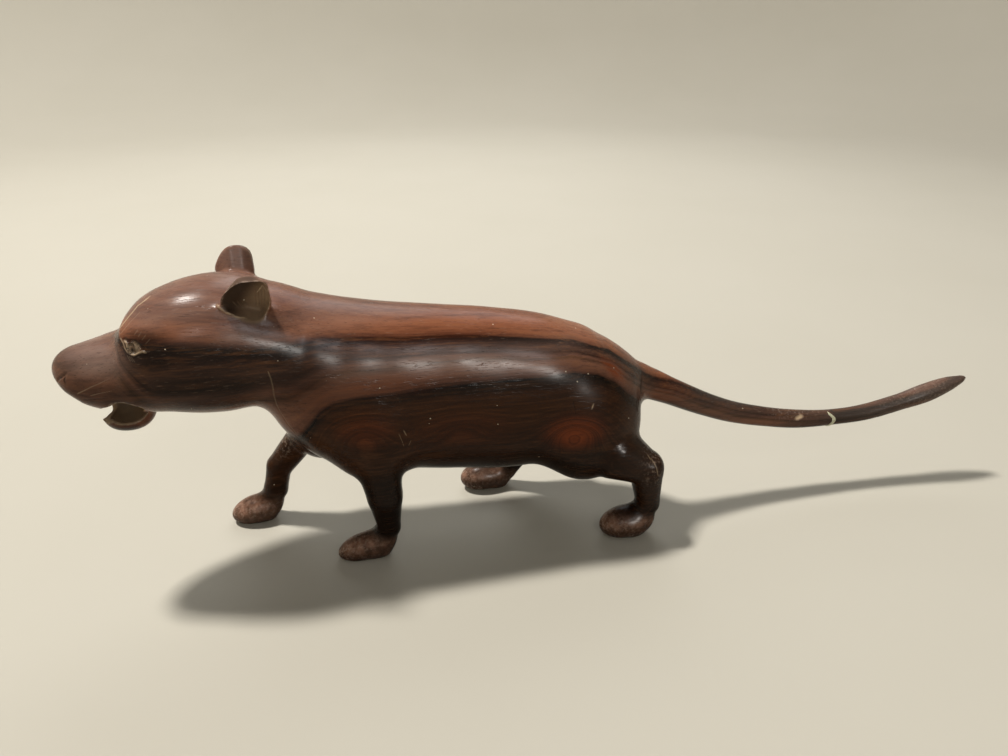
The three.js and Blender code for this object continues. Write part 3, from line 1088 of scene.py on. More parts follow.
@dataclass(frozen=True)
class Facets(Shape):
    """A form held between flat cuts whose edges are softened: soft leaves them rounder when it is low."""

    at: Triple
    cuts: tuple[Four, ...]
    side: Side
    lean: float
    soft: float

    def distance(self, at: Array) -> Array:
        """Roughly how far points are from the form, negative inside."""
        u, y, z = at - column(self.at)
        v, w = turned(z, y * self.side.value, self.lean)
        q = np.stack([(a * u + b * v + k * w) / h for a, b, k, h in self.cuts])
        q = np.maximum(q, 0) ** self.soft
        return (q.sum(0) ** (1 / self.soft) - 1) * min(cut[3] for cut in self.cuts)

    def reach(self) -> tuple[Array, Array]:
        """The lowest and the highest corner that the form may have."""
        return np.array(self.at) - 24, np.array(self.at) + 24


@dataclass(frozen=True)
class Ear:
    """An upright cup that opens to one side, cut with a few flat strokes and hollowed with a gouge.

    A cut is a direction (back, up, outwards) and its distance from the middle of the ear.
    """

    at: Triple
    side: Side
    edges: tuple[Four, ...]
    back: tuple[Four, ...] = (
        (-0.62, 0.05, -0.78, 8.6),
        (0.05, 0.12, -0.99, 7.2),
        (0.68, 0.10, -0.73, 9.4),
    )
    root: tuple[Four, ...] = (
        (0.52, -0.61, 0.60, 13.6),
        (-0.46, -0.65, 0.60, 12.6),
        (-1.0, 0.0, 0.0, 19.0),
        (0.0, -1.0, 0.0, 24.0),
    )
    lip: tuple[Four, ...] = (
        (0.86, -0.51, 0.0, 14.0),
        (-0.2, -0.98, 0.0, 14.2),
        (-0.62, -0.78, 0.0, 13.7),
    )
    mouth: float = 4.6
    wall: float = 1.3
    lean: float = 0.27

    def outer(self) -> Facets:
        """The ear's outer form, which runs down into the head."""
        cuts = (*self.edges, *self.back, *self.root, (0.0, 0.0, 1.0, self.mouth))
        return Facets(self.at, cuts, self.side, self.lean, 9.0)

    def hollow(self, spare: float = 0.0) -> Facets:
        """The gouged hollow of the ear, with some spare wood left in it."""
        cuts = [(a, b, k, h - self.wall - spare) for a, b, k, h in (*self.edges, *self.lip)]
        cuts += [(a, b, k, h - 1.6 * self.wall - spare) for a, b, k, h in self.back]
        return Facets(self.at, (*cuts, (0.0, 0.0, 1.0, self.mouth + 9)), self.side, self.lean, 8.0)


HEAD = Sections.of(
    "middle top widest bottom half",
    (
        (0, -20, 178.5, 166, 157, 10),
        (10, -19, 180.5, 162, 150.5, 17),
        (20, -17.5, 182.5, 158, 142.5, 22.5),
        (32, -15.5, 185.5, 157, 138, 28),
        (42, -13.5, 189, 158, 137, 32),
        (49, -12.5, 199.5, 160, 134.5, 35),
        (57, -11, 207, 163, 133, 37.5),
        (70, -8.5, 213, 165, 131, 41.5),
        (86, -6, 217, 167, 127.5, 45),
        (103, -3.5, 218, 168, 126, 46.5),
        (120, -1.5, 215, 168, 127, 46),
        (138, 0, 207.5, 167, 123.5, 45),
        (160, 0, 199, 160, 126, 41),
    ),
)
BODY = Sections.of(
    "middle top widest bottom half",
    (
        (118, 0, 212, 167, 125, 40),
        (140, 0, 207, 155, 98, 44),
        (160, 0, 200, 142, 78.5, 47),
        (185, 0, 194, 130, 68, 48),
        (212, 0, 189, 124, 64.5, 47.5),
        (253, 0, 184.5, 118, 59.5, 46),
        (293, 0, 179, 113, 55.5, 45.5),
        (322, 0, 173, 112, 58, 46.5),
        (345, 0, 165.5, 110, 63.5, 46),
        (361, 0, 159.5, 108, 68, 43.5),
        (377, 0, 148, 104, 70, 38),
        (388, 0, 140.5, 102, 71, 32),
        (396, 0, 135, 100, 72, 26),
        (406, 0, 127, 100, 74, 18),
    ),
)
TAIL = Sections.of(
    "height radius",
    (
        (376, 124, 12),
        (405, 113.5, 12.8),
        (430, 102, 11),
        (457, 89, 9.8),
        (485, 78, 8.8),
        (515, 70.5, 8.2),
        (547, 65, 7.8),
        (578, 63.5, 6.8),
        (610, 65.5, 7),
        (640, 72, 7.2),
        (663, 78.5, 8.2),
        (682, 85, 6.4),
        (697, 89.8, 2.6),
    ),
)


NOSTRIL: Line = ((6.2, 165), (8.4, 167.3), (10.4, 168.6), (13.3, 170.4))
RUMP: Line = ((400.5, 126), (397.6, 119), (397, 110.5), (399, 102))


def leg(joints: Sequence[Four], at: Triple, radii: Triple, tilt: float) -> Leg:
    """A leg from its joints and its paw's place, size and tilt."""
    return Leg(Limb(tuple(joints), 1.5, 2.4), Egg(at, radii, tilt=tilt))


@dataclass
class CatCarving:
    """The carved cat, from one block of wood."""

    head: Loft = Loft(HEAD, 2.2, (-0.8, 165.0), 14.0)
    body: Loft = Loft(BODY, 2.25, (124.0, 402.0), 22.0)
    tail: Tail = Tail(TAIL, 699.3)
    tail_root: Limb = Limb(((372, 0, 118, 26), (400, 0, 113.5, 13.5)), 7.0)
    muscles: tuple[Egg, ...] = (
        Egg((198, -27, 103.5), (29.5, 23, 37)),
        Egg((160, 25, 94), (30, 23, 36.5)),
        Egg((356, -25, 89), (38.5, 23, 42.5)),
        Egg((346, 25, 88), (38, 23, 38)),
    )
    legs: tuple[Leg, ...] = (
        leg(
            ((198.5, -31, 86, 17), (201.5, -33, 55, 13), (202.8, -32.5, 27, 8.5), (195.5, -31, 9, 9)),
            (185, -31, 9.5), (22, 11, 10.5), 0.26,
        ),
        leg(
            ((145, 31, 77.5, 11.5), (120.5, 33.5, 46.5, 9.5), (116, 33, 28, 9), (106.5, 33, 7, 8)),
            (98.5, 32, 10), (20, 13, 11), 0.23,
        ),
        leg(
            ((378.5, -33, 70.5, 20), (398.5, -41, 60, 13), (402.5, -41, 28.5, 9), (393.5, -40, 7, 8)),
            (387, -40, 11.5), (22, 14, 12.5), 0.14,
        ),
        leg(
            ((346, 34, 66, 19), (321, 41, 38, 8.5), (306.5, 44, 16, 8), (299.5, 45, 8.5, 9.5)),
            (285.5, 45, 11), (19, 13, 12), 0.1,
        ),
    )
    jaw: Egg = Egg((38, -15.5, 132), (16.5, 16.5, 12.6), squareness=2.2)
    beak: Limb = Limb(((31, -17, 125, 5.2), (25.5, -17.6, 126.2, 3.1), (21.8, -18, 127.9, 1.1)), 2.0)
    scoop: Egg = Egg((38.3, -15.5, 135.2), (13.6, 13.6, 12.4), squareness=2.2)
    palate: Egg = Egg((40, -24.5, 141), (13.5, 20, 12), squareness=2.2)
    gape: Gape = Gape()
    neck_fillet: Pair = (9, 3)
    soft_fillet: float = 14
    limb_fillet: float = 4.5
    small_fillet: float = 4
    beak_fillet: float = 2.5
    cut_edge: float = 1.2
    ear_edge: float = 0.8
    sole_edge: float = 1.6
    step: float = 2.9
    head_step: float = 1.9
    paw_step: float = 1.8
    mouth_step: float = 1.1
    ear_step: float = 1.0
    eye_steps: Pair = (0.34, 0.8)
    ears: tuple[Ear, ...] = (
        Ear(
            (127.8, -33, 212), Side.LEFT,
            ((-0.66, 0.75, 0.0, 13.7), (0.0, 1.0, 0.0, 14.0), (1.0, 0.0, 0.0, 14.6)),
        ),
        Ear(
            (112.9, 33, 215.5), Side.RIGHT,
            ((-0.87, 0.49, 0.0, 12.6), (-0.55, 0.83, 0.0, 12.4), (0.05, 1.0, 0.0, 12.7),
             (0.68, 0.73, 0.0, 13.2), (1.0, 0.05, 0.0, 11.6)),
        ),
    )
    eyes: tuple[Eye, ...] = (Eye((57.8, 187.2), Side.LEFT), Eye((50.8, 187.2), Side.RIGHT, 0.95))
    spare: float = 1.9
    swells: Line = ((266, 165), (326, 157))
    swell_height: float = 0.9
    swell_spread: float = 450
    # The two black lines in the wood, through points chosen one by one and turned into (along, up)
    upper_line: Line = (
        (0, 196), (46, 192), (68, 191), (83, 190), (98, 188), (123, 183.5), (149, 182), (167, 183),
        (186, 182), (224, 178), (254, 177), (274, 175), (309, 170), (342, 165), (371, 154), (390, 140),
        (430, 110),
    )
    lower_line: Line = (
        (0, 90), (90, 92), (146, 108), (157, 119), (164, 129), (172, 135), (192, 138), (211, 139), (231, 142),
        (251, 143), (312, 143), (338, 144), (358, 140), (372, 132), (381, 122), (400, 108), (430, 90),
    )
    ringed: tuple[tuple[float, Pair, Pair], ...] = (
        (0.5, (190, 117), (24, 17)),
        (0.3, (258, 114), (27, 13)),
        (0.6, (340, 101), (23, 16)),
    )
    strokes: tuple[Stroke, ...] = (
        # The streak on the forehead, the cuts on the muzzle and the hairs of the brow
        Stroke(((46.5, 194), (53, 201), (59, 207), (66, 211)), 0.95, 0.4, 1.0),
        Stroke(((49, 193.5), (56, 200.5), (62, 205.5)), 0.5, 0.25, 0.25),
        Stroke(((17.9, 157.7), (26.8, 162.4), (33, 165.2), (40.2, 168.6)), 0.42, 0.35, 0.5),
        Stroke(((26.3, 157.1), (33, 159), (40.2, 160.5)), 0.38, 0.3, 0.38),
        Stroke(((20, 153.5), (28, 154.6), (37, 155.6)), 0.5, 0.3, 0.0, 0.5),
        Stroke(((61, 197.3), (58.9, 194.7)), 0.45, 0.35, 0.4),
        Stroke(((63.2, 196.4), (61.4, 193.9)), 0.45, 0.35, 0.35),
        Stroke(((66, 195), (63.6, 192.2)), 0.45, 0.3, 0.3),
        Stroke(((68.5, 192.8), (65.6, 190.2)), 0.45, 0.3, 0.25),
        # The line round the neck, with a little painted shade in its cut
        Stroke(
            ((134.8, 166), (135.8, 160.5), (136.2, 154), (136, 147), (136.4, 140), (137.7, 133.4), (141, 124),
             (145.5, 115)),
            0.6, 0.9, 0.42, 0.25,
        ),
        # The nostrils, and the muzzle and the lip of the far side, with painted shade in the nostrils and the
        # lip's cut
        Stroke(NOSTRIL, 1.3, 1.9, 0.0, 0.95),
        Stroke(((12.9, 169.4), (11.5, 165.9), (12.1, 163.7)), 0.8, 0.5, 0.0, 0.7),
        Stroke(NOSTRIL, 1.3, 1.6, 0.0, 0.8, Side.RIGHT),
        Stroke(((20, 157), (28, 160), (36, 162)), 0.5, 0.35, 0.2, 0.0, Side.RIGHT),
        Stroke(((9, 157), (16, 150), (26, 144.5), (38, 141.5), (52, 141)), 1.0, 1.2, 0.0, 0.8, Side.RIGHT),
        # The crease at the end of the rump, with painted shade in it
        Stroke(RUMP, 1.5, 1.2, 0.0, 0.6),
        Stroke(RUMP, 1.5, 1.2, 0.0, 0.6, Side.RIGHT),
        # Scratches and nicks, with the chip in the tail
        Stroke(((337.3, 125.5), (338.5, 120), (339.4, 114.4)), 0.4, 0.3, 0.0, 0.7),
        Stroke(((214.5, 114), (216.2, 108), (217.3, 103.5)), 0.35, 0.25, 0.55),
        Stroke(((351, 118.5), (352.5, 122)), 0.7, 0.35, 0.95),
        Stroke(((541.6, 69.6), (545.8, 70.6)), 2.3, 0.6, 1.0, 0.0, Side.LEFT, 0.2),
        Stroke(((217.8, 116), (219.5, 111.5)), 0.5, 0.2, 0.45),
        Stroke(((222.5, 107), (220.6, 103)), 0.4, 0.2, 0.3),
        Stroke(((399, 73), (402, 67), (403.5, 60)), 0.5, 0.2, 0.5),
        Stroke(((396, 76), (398.5, 72)), 0.6, 0.2, 0.45),
        Stroke(((139, 85), (134, 79.5)), 0.6, 0.2, 0.4),
        Stroke(((327, 140), (329, 142.2)), 0.5, 0.25, 0.8),
        # The pale rims and the gouge marks of the near ear
        Stroke(((132.7, 213.2), (137.9, 220.5)), 0.55, -0.3, 0.8),
        Stroke(((137.9, 220.5), (139.6, 216.6)), 0.55, -0.3, 0.7),
        Stroke(((108.6, 208.8), (111.5, 206.4), (113.7, 204.6)), 1.0, -0.35, 0.65),
        Stroke(((112.5, 204.9), (116, 203.2), (119.4, 201.7)), 0.9, -0.3, 0.5),
        Stroke(((117.5, 201.8), (121, 200.6), (125.4, 199.2)), 1.0, -0.35, 0.6),
        *(
            Stroke(
                (
                    (132.0 + 2.0 * k, 219.5 - 0.8 * k),
                    (131.2 + 2.0 * k, 211),
                    (130.6 + 1.7 * k, 202.5 + 0.6 * k),
                ),
                0.8, 0.3, 0.12 + 0.05 * (k % 2),
            )
            for k in range(5)
        ),
        *(
            Stroke(((118.0 + 2.3 * k, 209 - 0.6 * k), (120.5 + 1.9 * k, 203.5 - 0.5 * k)), 0.7, 0.25, 0.2)
            for k in range(4)
        ),
    )
    figures: tuple[Figure, ...] = (
        # The first six patches paint a grey sheen of reflected light on the muzzle, the head, the back, the
        # ear, the tail and the flank.
        Figure(Tone.BLOOM, (31, 178), (23, 10), 0.7),
        Figure(Tone.BLOOM, (84, 210), (44, 14), 0.4),
        Figure(Tone.BLOOM, (180, 192), (90, 9), 0.3),
        Figure(Tone.BLOOM, (115, 222), (18, 12), 0.6, both=True),
        Figure(Tone.BLOOM, (670, 86), (50, 8), 0.45, both=True),
        Figure(Tone.BLOOM, (250, 160), (100, 8), 0.3),
        # The next eleven patches are painted shade with dark wood: on the cheek, the jaw and the lower
        # muzzle, round the eye, at the throat and the neck, on the belly, on the foreleg, between the legs
        # and under the tail.
        Figure(Tone.SHADE_AND_STAIN, (92, 156), (46, 18), 0.93),
        Figure(Tone.SHADE_AND_STAIN, (50, 153), (28, 12), 0.85),
        Figure(Tone.SHADE_AND_STAIN, (24, 156), (24, 11), 0.6),
        Figure(Tone.SHADE_AND_STAIN, (66, 193), (13, 4.5), 0.7),
        Figure(Tone.SHADE_AND_STAIN, (66, 176), (18, 10), 0.5),
        Figure(Tone.SHADE_AND_STAIN, (130, 193), (18, 7), 0.55),
        Figure(Tone.SHADE_AND_STAIN, (150, 154), (26, 24), 0.6),
        Figure(Tone.SHADE_AND_STAIN, (250, 68), (90, 11), 0.85),
        Figure(Tone.SHADE_AND_STAIN, (206, 60), (16, 36), 0.5),
        Figure(Tone.SHADE_AND_STAIN, (285, 40), (30, 26), 0.75, both=True),
        Figure(Tone.SHADE_AND_STAIN, (560, 58), (170, 7), 0.8, both=True),
        Figure(Tone.ASH, (625, 80), (95, 30), 0.72, both=True),
        Figure(Tone.ASH, (470, 92), (60, 20), 0.4, both=True),
        Figure(Tone.ASH, (395, 120), (18, 50), 0.45, both=True),
        # Painted sheen above the eye.
        Figure(Tone.BLOOM, (66, 203), (18, 8), 0.45),
        Figure(Tone.WEAR, (126, 74), (9, 13), 0.8, both=True),
        Figure(Tone.WEAR, (400, 67), (9, 15), 0.55),
        Figure(Tone.WEAR, (276, 4), (8, 4.5), 1.0, both=True),
        Figure(Tone.WEAR, (545, 78), (26, 9), 0.5, both=True),
        Figure(Tone.WEAR, (640, 84), (70, 12), 0.35, both=True),
        Figure(Tone.FLAME, (340, 101), (19, 12.5), 0.8),
        Figure(Tone.FLAME, (371, 140), (12, 3.4), 0.8, turn=-0.75),
        Figure(Tone.FLAME, (280, 178), (105, 7), 0.2),
        Figure(Tone.FLAME, (192, 119), (19, 12), 0.3),
        Figure(Tone.FLAME, (258, 112), (34, 15), 0.12),
        Figure(Tone.FLAME, (210, 150), (40, 8), 0.25),
        Figure(Tone.FLAME, (32, 144), (28, 6), 0.3),
        Figure(Tone.FLAME, (160, 150), (20, 16), 0.2),
        Figure(Tone.FLAME, (420, 104), (26, 16), 0.25, both=True),
    )

    def __post_init__(self) -> None:
        """Lays the strokes on the blocked-out surface."""
        lines = [*self.strokes, *(line for eye in self.eyes for line in eye.strokes())]
        self.laid: list[LaidStroke] = [line.laid(self.rough) for line in lines]

    def rough(self, at: Array, spare: float = 0.0) -> Array:
        """The distance from the blocked-out figure, negative inside the wood.

        Args:
            at: The points.
            spare: The wood left in the ears and the jaw, so that a coarse grid doesn't pierce them.
        Returns:
            The distance at each point.
        """
        wood = Wood(at)
        wood.add(self.head, 0)
        wood.add(self.body, *self.neck_fillet)
        for form in (self.tail_root, *self.muscles):
            wood.add(form, self.soft_fillet)
        for form in self.legs:
            wood.add(form, self.limb_fillet)
        wood.add(self.tail, self.small_fillet)
        wood.add(self.jaw, self.small_fillet)
        wood.add(self.beak, self.beak_fillet)
        scoop = replace(self.scoop, radii=tuple(r - 0.7 * spare for r in self.scoop.radii))
        for hollow in (scoop, self.palate, self.gape):
            wood.cut(hollow, self.cut_edge)
        for ear in self.ears:
            wood.add(ear.outer(), self.limb_fillet)
        for ear in self.ears:
            wood.cut(ear.hollow(spare), self.ear_edge)
        return intersect(wood.d, -at[2], self.sole_edge)

    def carved(self, at: Array) -> Array:
        """The distance from the finished figure with its knife work.

        Args:
            at: The points.
        Returns:
            The distance at each point.
        """
        d = self.rough(at) - self.unevenness(at)
        for eye in self.eyes:
            here = eye.near(at)
            d[here] += eye.ball(at[:, here])[0]
        for line in self.laid:
            here = line.near(at, STROKE_MARGIN)
            if len(here):
                d[here] += line.stroke.depth * line.share(at[:, here])
        return d

    def unevenness(self, at: Array) -> Array:
        """How far the hand-worked surface stands proud of true, in millimetres."""
        x, y, z = at
        wave = 0.09 * np.sin(x / 11.1 + 1.3) * np.sin(z / 9.7 + y / 13.0)
        wave += 0.05 * np.sin(x / 6.3 + y / 7.9) * np.sin(z / 6.9 + 0.7) + 0.08 * np.sin(x / 17.0 + z / 23.0)
        swell = sum(np.exp(-((x - u) ** 2 + (z - w) ** 2) / self.swell_spread) for u, w in self.swells)
        swell = self.swell_height * swell * smooth(-y, 15, 30)
        return swell + (wave - 0.08) * smooth(z, 1.0, 6.0)

    def wanted(self, at: Array) -> Array:
        """The edge length that the surface needs at points.

        Args:
            at: The points.
        Returns:
            The length at each point, in millimetres.
        """
        x, _, z = at
        size = np.full(at.shape[1], self.step)
        size[x < 150] = self.head_step
        size[z < 26] = self.paw_step
        for eye in self.eyes:
            here = eye.near(at)
            gap = np.hypot(x[here] - eye.at[0], z[here] - eye.at[1])
            size[here] = np.where(gap < 8.5, *self.eye_steps)
        for ear in self.ears:
            rim = (np.abs(at - column(ear.at)) < column((17, 14, 19))).all(0)
            size[rim] = self.ear_step
        mouth = (np.abs(at - column((38, -15, 135))) < column((22, 26, 18))).all(0)
        size[mouth] = self.mouth_step
        for line in self.laid:
            here = line.near(at, 3.0)
            if len(here):
                close = here[line.gap(at[:, here]) < 0.7 + 1.2 * line.stroke.width]
                size[close] = np.minimum(size[close], max(self.eye_steps[0], 0.5 * line.stroke.width))
        return size

    def surface(self) -> Mesh3:
        """The carved surface.

        Returns:
            The surface.
        """
        lines = (
            grid_lines(-4, ((150, 1.8), (420, 3.2), (704, 3.2))),
            grid_lines(-62, ((62, 2.3),)),
            grid_lines(-4, ((40, 2.2), (190, 2.8), (232, 2.0))),
        )
        mesh = surface_of(lambda at: self.rough(at, self.spare), lines)
        LOG.info("blocked out with %d faces", len(mesh.faces))
        mesh = Mesh3(settle(self.rough, mesh.points, 3, 1.5), mesh.faces)
        mesh = even(mesh, 2)
        mesh = Mesh3(settle(self.rough, mesh.points, 1), mesh.faces)
        for _ in range(4):
            mesh = refine(mesh, self.wanted)
            mesh = Mesh3(settle(self.rough, mesh.points, 1), mesh.faces)
            mesh = even(mesh, 1, 0.35)
        mesh = Mesh3(settle(self.carved, mesh.points, 4, 0.6), mesh.faces)
        LOG.info("carved with %d faces", len(mesh.faces))
        low, high = (np.array(corner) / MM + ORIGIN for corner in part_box(NODE))
        return Mesh3(np.clip(mesh.points, low[:, None], high[:, None]), mesh.faces)

    def layers(self, mesh: Mesh3) -> dict[str, Array]:
        """What the finish needs to know about each point of the surface.

        Args:
            mesh: The carved surface.
        Returns:
            Named numbers for the points.
        """
        at = mesh.points
        count = at.shape[1]
        dust_and_painted_light, cut, painted_shade = (np.zeros(count) for _ in range(3))
        for eye in self.eyes:
            here = eye.near(at)
            _, pale, dark = eye.ball(at[:, here])
            dust_and_painted_light[here] = np.maximum(dust_and_painted_light[here], pale)
            # Painted shade in the iris groove and the pupil pit.
            painted_shade[here] = np.maximum(painted_shade[here], dark)
        for line in self.laid:
            here = line.near(at, STROKE_MARGIN)
            if len(here):
                share = line.share(at[:, here])
                shine = np.clip(1.6 * share, 0, 1)
                dust_and_painted_light[here] = np.maximum(dust_and_painted_light[here] * (1 - line.stroke.dark * shine), line.stroke.pale * shine)
                # A dark stroke paints shade into its cut.
                painted_shade[here] = np.maximum(painted_shade[here] * (1 - line.stroke.pale * shine), line.stroke.dark * shine)
        for ear in self.ears:
            inside = smooth(-ear.hollow().distance(at), -0.9, 0.2)
            cut = np.maximum(cut, inside)
            # Painted shade darkens the upper, forward part of each hollow; its lower, rear part is paled with
            # dust and painted light.
            shade = smooth(0.8 * (at[2] - ear.at[2]) - (at[0] - ear.at[0]), -9, 7)
            painted_shade = np.maximum(painted_shade, 0.85 * shade * inside)
            dust_and_painted_light = np.maximum(dust_and_painted_light, 0.4 * (1 - shade) * inside)
        mouth = np.minimum(self.scoop.distance(at), self.palate.distance(at))
        mouth = np.minimum(mouth, self.gape.distance(at))
        inside = smooth(-mouth, -1.2, 0.1)
        cut = np.maximum(cut, inside)
        # The inside of the mouth is paled: painted light, with dust.
        dust_and_painted_light = np.maximum(dust_and_painted_light, 0.45 * inside)
        bend = self.bend(mesh)
        # The paws are paler, most on their upward faces: wear, with painted light on their tops.
        up = smooth(mesh.normals()[2], -0.2, 0.6)
        paws = smooth(-at[2], -25, -15) * (0.25 + 0.75 * up)
        edge = smooth(bend, 0.07, 0.3)
        rims = cut * (1 - cut) * 4 * edge
        worn = np.clip(np.maximum(paws * (0.3 + 0.7 * smooth(bend, 0.04, 0.14)), rims * 0.8), 0, 1)
        tones = {tone: np.zeros(count) for tone in Tone}
        for figure in self.figures:
            tones[figure.tone] = np.maximum(tones[figure.tone], figure.on(at))
        return {
            "layer": self.growth(at),
            **{tone.value: share for tone, share in tones.items()},
            "dust_and_painted_light": dust_and_painted_light,
            "cut": cut,
            "painted_shade": painted_shade,
            "worn": worn,
            "paws": paws,
        }

    def bend(self, mesh: Mesh3) -> Array:
        """How sharply the surface bends outwards at each point, per millimetre."""
        pairs, _ = mesh.edges()
        a, b = pairs
        count = mesh.points.shape[1]
        normal = mesh.normals()
        gap = mesh.points[:, b] - mesh.points[:, a]
        turn = ((normal[:, b] - normal[:, a]) * gap).sum(0) / np.maximum((gap**2).sum(0), 1e-6)
        degree = from_neighbours(pairs, np.ones(count))
        value = (np.bincount(a, turn, count) + np.bincount(b, turn, count)) / degree
        for _ in range(3):
            value = from_neighbours(pairs, value) / degree
        return value

    def growth(self, at: Array) -> Array:
        """Which layer of the wood points lie in: 1 at the upper black line, 0 at the lower one.

        Args:
            at: The points.
        Returns:
            The layer at each point.
        """
        x, y, z = at
        level = z + 0.15 * (y + 40)
        upper, lower = (np.interp(x, *zip(*line)) for line in (self.upper_line, self.lower_line))
        t = np.where(level > lower, (level - lower) / (upper - lower), (level - lower) / 45)
        t = np.where(level > upper, 1 + (level - upper) / 32, t)
        low = smooth(-z, -188, -165)
        muzzle = smooth(52 + 12 * low - x - 0.7 * np.maximum(z - 186, 0), -2, 8 + 16 * low)
        t = t + (0.42 + (z - 168) / 110 - t) * muzzle
        middle, _ = self.tail.middle(x)
        along = smooth(x, 396, 430)
        broken = smooth(x, 574, 578)
        t = t + (0.42 + 0.05 * (z - middle) + 0.25 * broken - t) * along
        near = smooth(-y, 10, 30)
        rings = sum(share * oval(x - u, z - w, reach) for share, (u, w), reach in self.ringed)
        return t - near * rings

    def build(self) -> bpy.types.Object:
        """Makes the carving and dresses it.

        Returns:
            The finished piece.
        """
        mesh = self.surface()
        piece = object_from("cat_carving", mesh, self.layers(mesh))
        piece.data.materials.append(Rosewood().material())
        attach(piece, "root")
        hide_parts(NODE)
        return piece


@dataclass(frozen=True)
class GlueBead:
    """Dried glue that was squeezed out of the mended break and lies round the near side of the tail."""

    middle: float = 571.8
    swing: float = 4.4
    bottom: float = -1.3
    top: float = 1.35
    radius: float = 1.9
    sunk: float = 0.6
    points: int = 36
    sides: int = 12

    def path(self, tail: Tail) -> tuple[Array, Array]:
        """The bead's line on the tail.

        Args:
            tail: The tail that the bead lies on.
        Returns:
            The line, one column for each point, and the share of the full radius at each.
        """
        turn = np.linspace(self.bottom, self.top, self.points)
        along = self.middle + self.swing * np.cos(turn) ** 2 + 0.35 * np.sin(5 * turn)
        share = np.sin(np.linspace(0.04, math.pi - 0.04, self.points)) ** 0.8 * (1 + 0.12 * np.sin(9 * turn))
        height, slope = tail.middle(along)
        out = tail.sections.through("radius", along) - self.sunk * self.radius * share
        rise = out * np.sin(turn) / np.sqrt(1 + slope * slope)
        return np.stack([along - rise * slope, -out * np.cos(turn), height + rise]), share

    def tree(self) -> tuple[bpy.types.NodeTree, dict[str, str]]:
        """The nodes that sweep the bead along its line.

        Returns:
            The node tree, and the identifiers of its named inputs.
        """
        tree = bpy.data.node_groups.new("bead along a line", "GeometryNodeTree")
        face = tree.interface
        face.new_socket("Geometry", in_out="INPUT", socket_type="NodeSocketGeometry")
        kinds = {"Radius": "NodeSocketFloat", "Sides": "NodeSocketInt", "Finish": "NodeSocketMaterial"}
        names = {}
        for name, kind in kinds.items():
            names[name] = face.new_socket(name, in_out="INPUT", socket_type=kind).identifier
        face.new_socket("Geometry", in_out="OUTPUT", socket_type="NodeSocketGeometry")

        def node(kind: str, **settings: object) -> bpy.types.Node:
            """Adds a node with its settings."""
            new = tree.nodes.new(kind)
            for name, setting in settings.items():
                setattr(new, name, setting)
            return new

        given = node("NodeGroupInput").outputs
        share = node("GeometryNodeInputNamedAttribute", data_type="FLOAT")
        share.inputs["Name"].default_value = "share"
        width = node("ShaderNodeMath", operation="MULTIPLY")
        curve = node("GeometryNodeMeshToCurve")
        ring = node("GeometryNodeCurvePrimitiveCircle")
        sweep = node("GeometryNodeCurveToMesh")
        smooth_faces = node("GeometryNodeSetShadeSmooth")
        real = node("GeometryNodeRealizeInstances")
        dress = node("GeometryNodeSetMaterial")
        ring.inputs["Radius"].default_value = 1.0
        sweep.inputs["Fill Caps"].default_value = True
        links = [
            (given["Geometry"], curve.inputs["Mesh"]),
            (share.outputs["Attribute"], width.inputs[0]),
            (given["Radius"], width.inputs[1]),
            (given["Sides"], ring.inputs["Resolution"]),
            (curve.outputs["Curve"], sweep.inputs["Curve"]),
            (width.outputs[0], sweep.inputs["Scale"]),
            (ring.outputs["Curve"], sweep.inputs["Profile Curve"]),
            (sweep.outputs["Mesh"], smooth_faces.inputs["Geometry"]),
            (smooth_faces.outputs["Geometry"], real.inputs["Geometry"]),
            (real.outputs["Geometry"], dress.inputs["Geometry"]),
            (given["Finish"], dress.inputs["Material"]),
            (dress.outputs["Geometry"], node("NodeGroupOutput").inputs["Geometry"]),
        ]
        for out, into in links:
            tree.links.new(out, into)
        return tree, names

    def build(self, tail: Tail) -> bpy.types.Object:
        """Makes the bead and dresses it.

        Args:
            tail: The tail that the bead lies on.
        Returns:
            The finished piece.
        """
        points, share = self.path(tail)
        line = bpy.data.meshes.new("bead_line")
        edges = [(k, k + 1) for k in range(self.points - 1)]
        line.from_pydata([tuple(row) for row in to_scene(points)], edges, [])
        line.attributes.new("share", "FLOAT", "POINT").data.foreach_set("value", share.astype(np.float32))
        guide = placed("bead_line", line)
        tree, names = self.tree()
        sweep = guide.modifiers.new("bead", "NODES")
        sweep.node_group = tree
        finish = OldGlue().material()
        for name, value in {"Radius": self.radius * MM, "Sides": self.sides, "Finish": finish}.items():
            sweep[names[name]] = value
        solid = bpy.data.meshes.new_from_object(guide.evaluated_get(bpy.context.evaluated_depsgraph_get()))
        guide.modifiers.remove(sweep)
        bpy.data.objects.remove(guide)
        bead = placed("glue_bead", solid)
        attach(bead, "root")
        return bead


# Studio


@dataclass(frozen=True)
class Lamp:
    """A square studio lamp: its place, width, power and colour, and whether it only makes highlights."""

    name: str
    at: Triple
    size: float
    power: float
    colour: Triple = (1.0, 1.0, 1.0)
    glint: bool = False
    aim: Triple = (-0.05, 0.0, 0.1)

    def build(self) -> None:
        """Hangs the lamp, facing the cat."""
        data = bpy.data.lights.new(self.name, "AREA")
        data.size, data.energy, data.color = self.size, self.power, self.colour
        lamp = placed(self.name, data)
        lamp.location = self.at
        lamp.visible_diffuse = not self.glint
        lamp.rotation_euler = (Vector(self.aim) - Vector(self.at)).to_track_quat("-Z", "Y").to_euler()


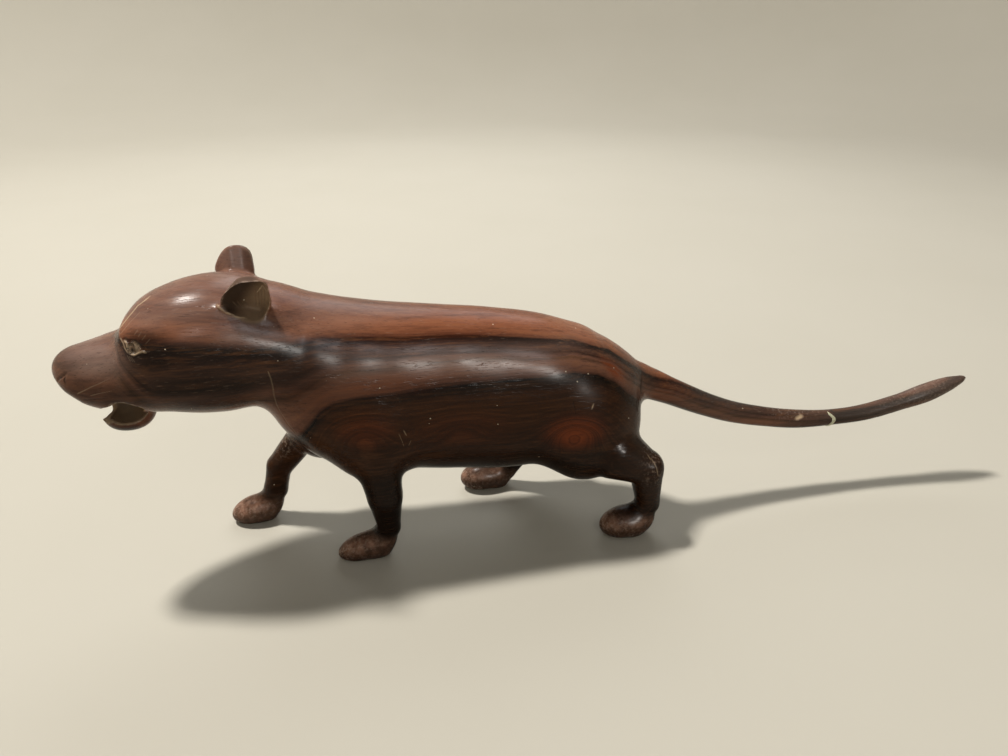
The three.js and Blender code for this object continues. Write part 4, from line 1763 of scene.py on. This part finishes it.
@dataclass(frozen=True)
class Backdrop:
    """A floor of pale paper that curves up into a wall all round, wide enough to walk round the cat."""

    flat: float = 2.2
    curve: float = 1.3
    top: float = 2.3
    sides: int = 96
    steps: int = 14

    def build(self) -> None:
        """Makes the floor and the wall as one surface."""
        turns = [k * math.pi / 2 / self.steps for k in range(self.steps + 1)]
        profile = [(self.flat * k / 6, 0.0) for k in range(1, 7)]
        profile += [(self.flat + self.curve * math.sin(t), self.curve * (1 - math.cos(t))) for t in turns[1:]]
        profile.append((self.flat + self.curve, self.top))
        points, faces = [(0.0, 0.0, 0.0)], []
        for radius, height in profile:
            for k in range(self.sides):
                turn = 2 * math.pi * k / self.sides
                points.append((radius * math.cos(turn), radius * math.sin(turn), height))
        for k in range(self.sides):
            after = (k + 1) % self.sides
            faces.append((0, 1 + k, 1 + after))
            for row in range(len(profile) - 1):
                a, b = 1 + row * self.sides, 1 + (row + 1) * self.sides
                faces.append((a + k, b + k, b + after, a + after))
        data = bpy.data.meshes.new("backdrop")
        data.from_pydata(points, [], faces)
        data.shade_smooth()
        data.materials.append(PalePaper().material())
        placed("backdrop", data)


@dataclass(frozen=True)
class Studio:
    """The backdrop, soft light and the camera."""

    eye: Triple = (203.5, -500.9, 373.7)
    forward: Triple = (0.1638, 0.8837, -0.4384)
    lens: float = 27.0
    sky: float = 0.16
    backdrop: Backdrop = Backdrop()
    lamps: tuple[Lamp, ...] = (
        Lamp("key", (-1.4, 0.8, 3.8), 0.4, 200.0, (1.0, 0.96, 0.9)),
        Lamp("fill", (0.1, -2.6, 2.2), 1.2, 10.0, (1.0, 0.98, 0.95)),
        Lamp("left window", (0.43, -1.80, 0.95), 0.09, 18.0, (1.0, 0.96, 0.9), True),
        Lamp("right window", (0.69, -1.82, 0.72), 0.09, 18.0, (1.0, 0.96, 0.9), True),
        Lamp("cloud", (0.45, -1.37, 1.52), 0.35, 8.0, (0.98, 0.98, 1.0), True),
        Lamp("side", (-0.6, -1.65, 1.35), 0.25, 6.0, (1.0, 0.97, 0.93), True),
        Lamp("back", (0.3, 1.7, 1.7), 1.4, 16.0, (0.96, 0.98, 1.0)),
    )

    def build(self) -> None:
        """Makes the backdrop, the lights and the camera."""
        self.backdrop.build()
        world = bpy.data.worlds.new("soft room")
        world.use_nodes = True
        world.node_tree.nodes["Background"].inputs["Color"].default_value = (1.0, 0.98, 0.95, 1)
        world.node_tree.nodes["Background"].inputs["Strength"].default_value = self.sky
        bpy.context.scene.world = world
        for lamp in self.lamps:
            lamp.build()
        camera = placed("camera", bpy.data.cameras.new("camera"))
        camera.data.lens, camera.data.sensor_width = self.lens, 36.0
        camera.location = to_scene(column(self.eye))[0]
        camera.rotation_euler = Vector(self.forward).to_track_quat("-Z", "Y").to_euler()
        bpy.context.scene.camera = camera
        bpy.context.scene.view_settings.view_transform = "Standard"


def main() -> None:
    """Builds the studio and the cat, and reports the pieces."""
    logging.basicConfig(level=logging.INFO, format="%(name)s: %(message)s")
    Studio().build()
    carving = CatCarving()
    for piece in (carving.build(), GlueBead().build(carving.tail)):
        LOG.info("%s: %d faces", piece.name, len(piece.data.polygons))


if __name__ == "__main__":
    main()
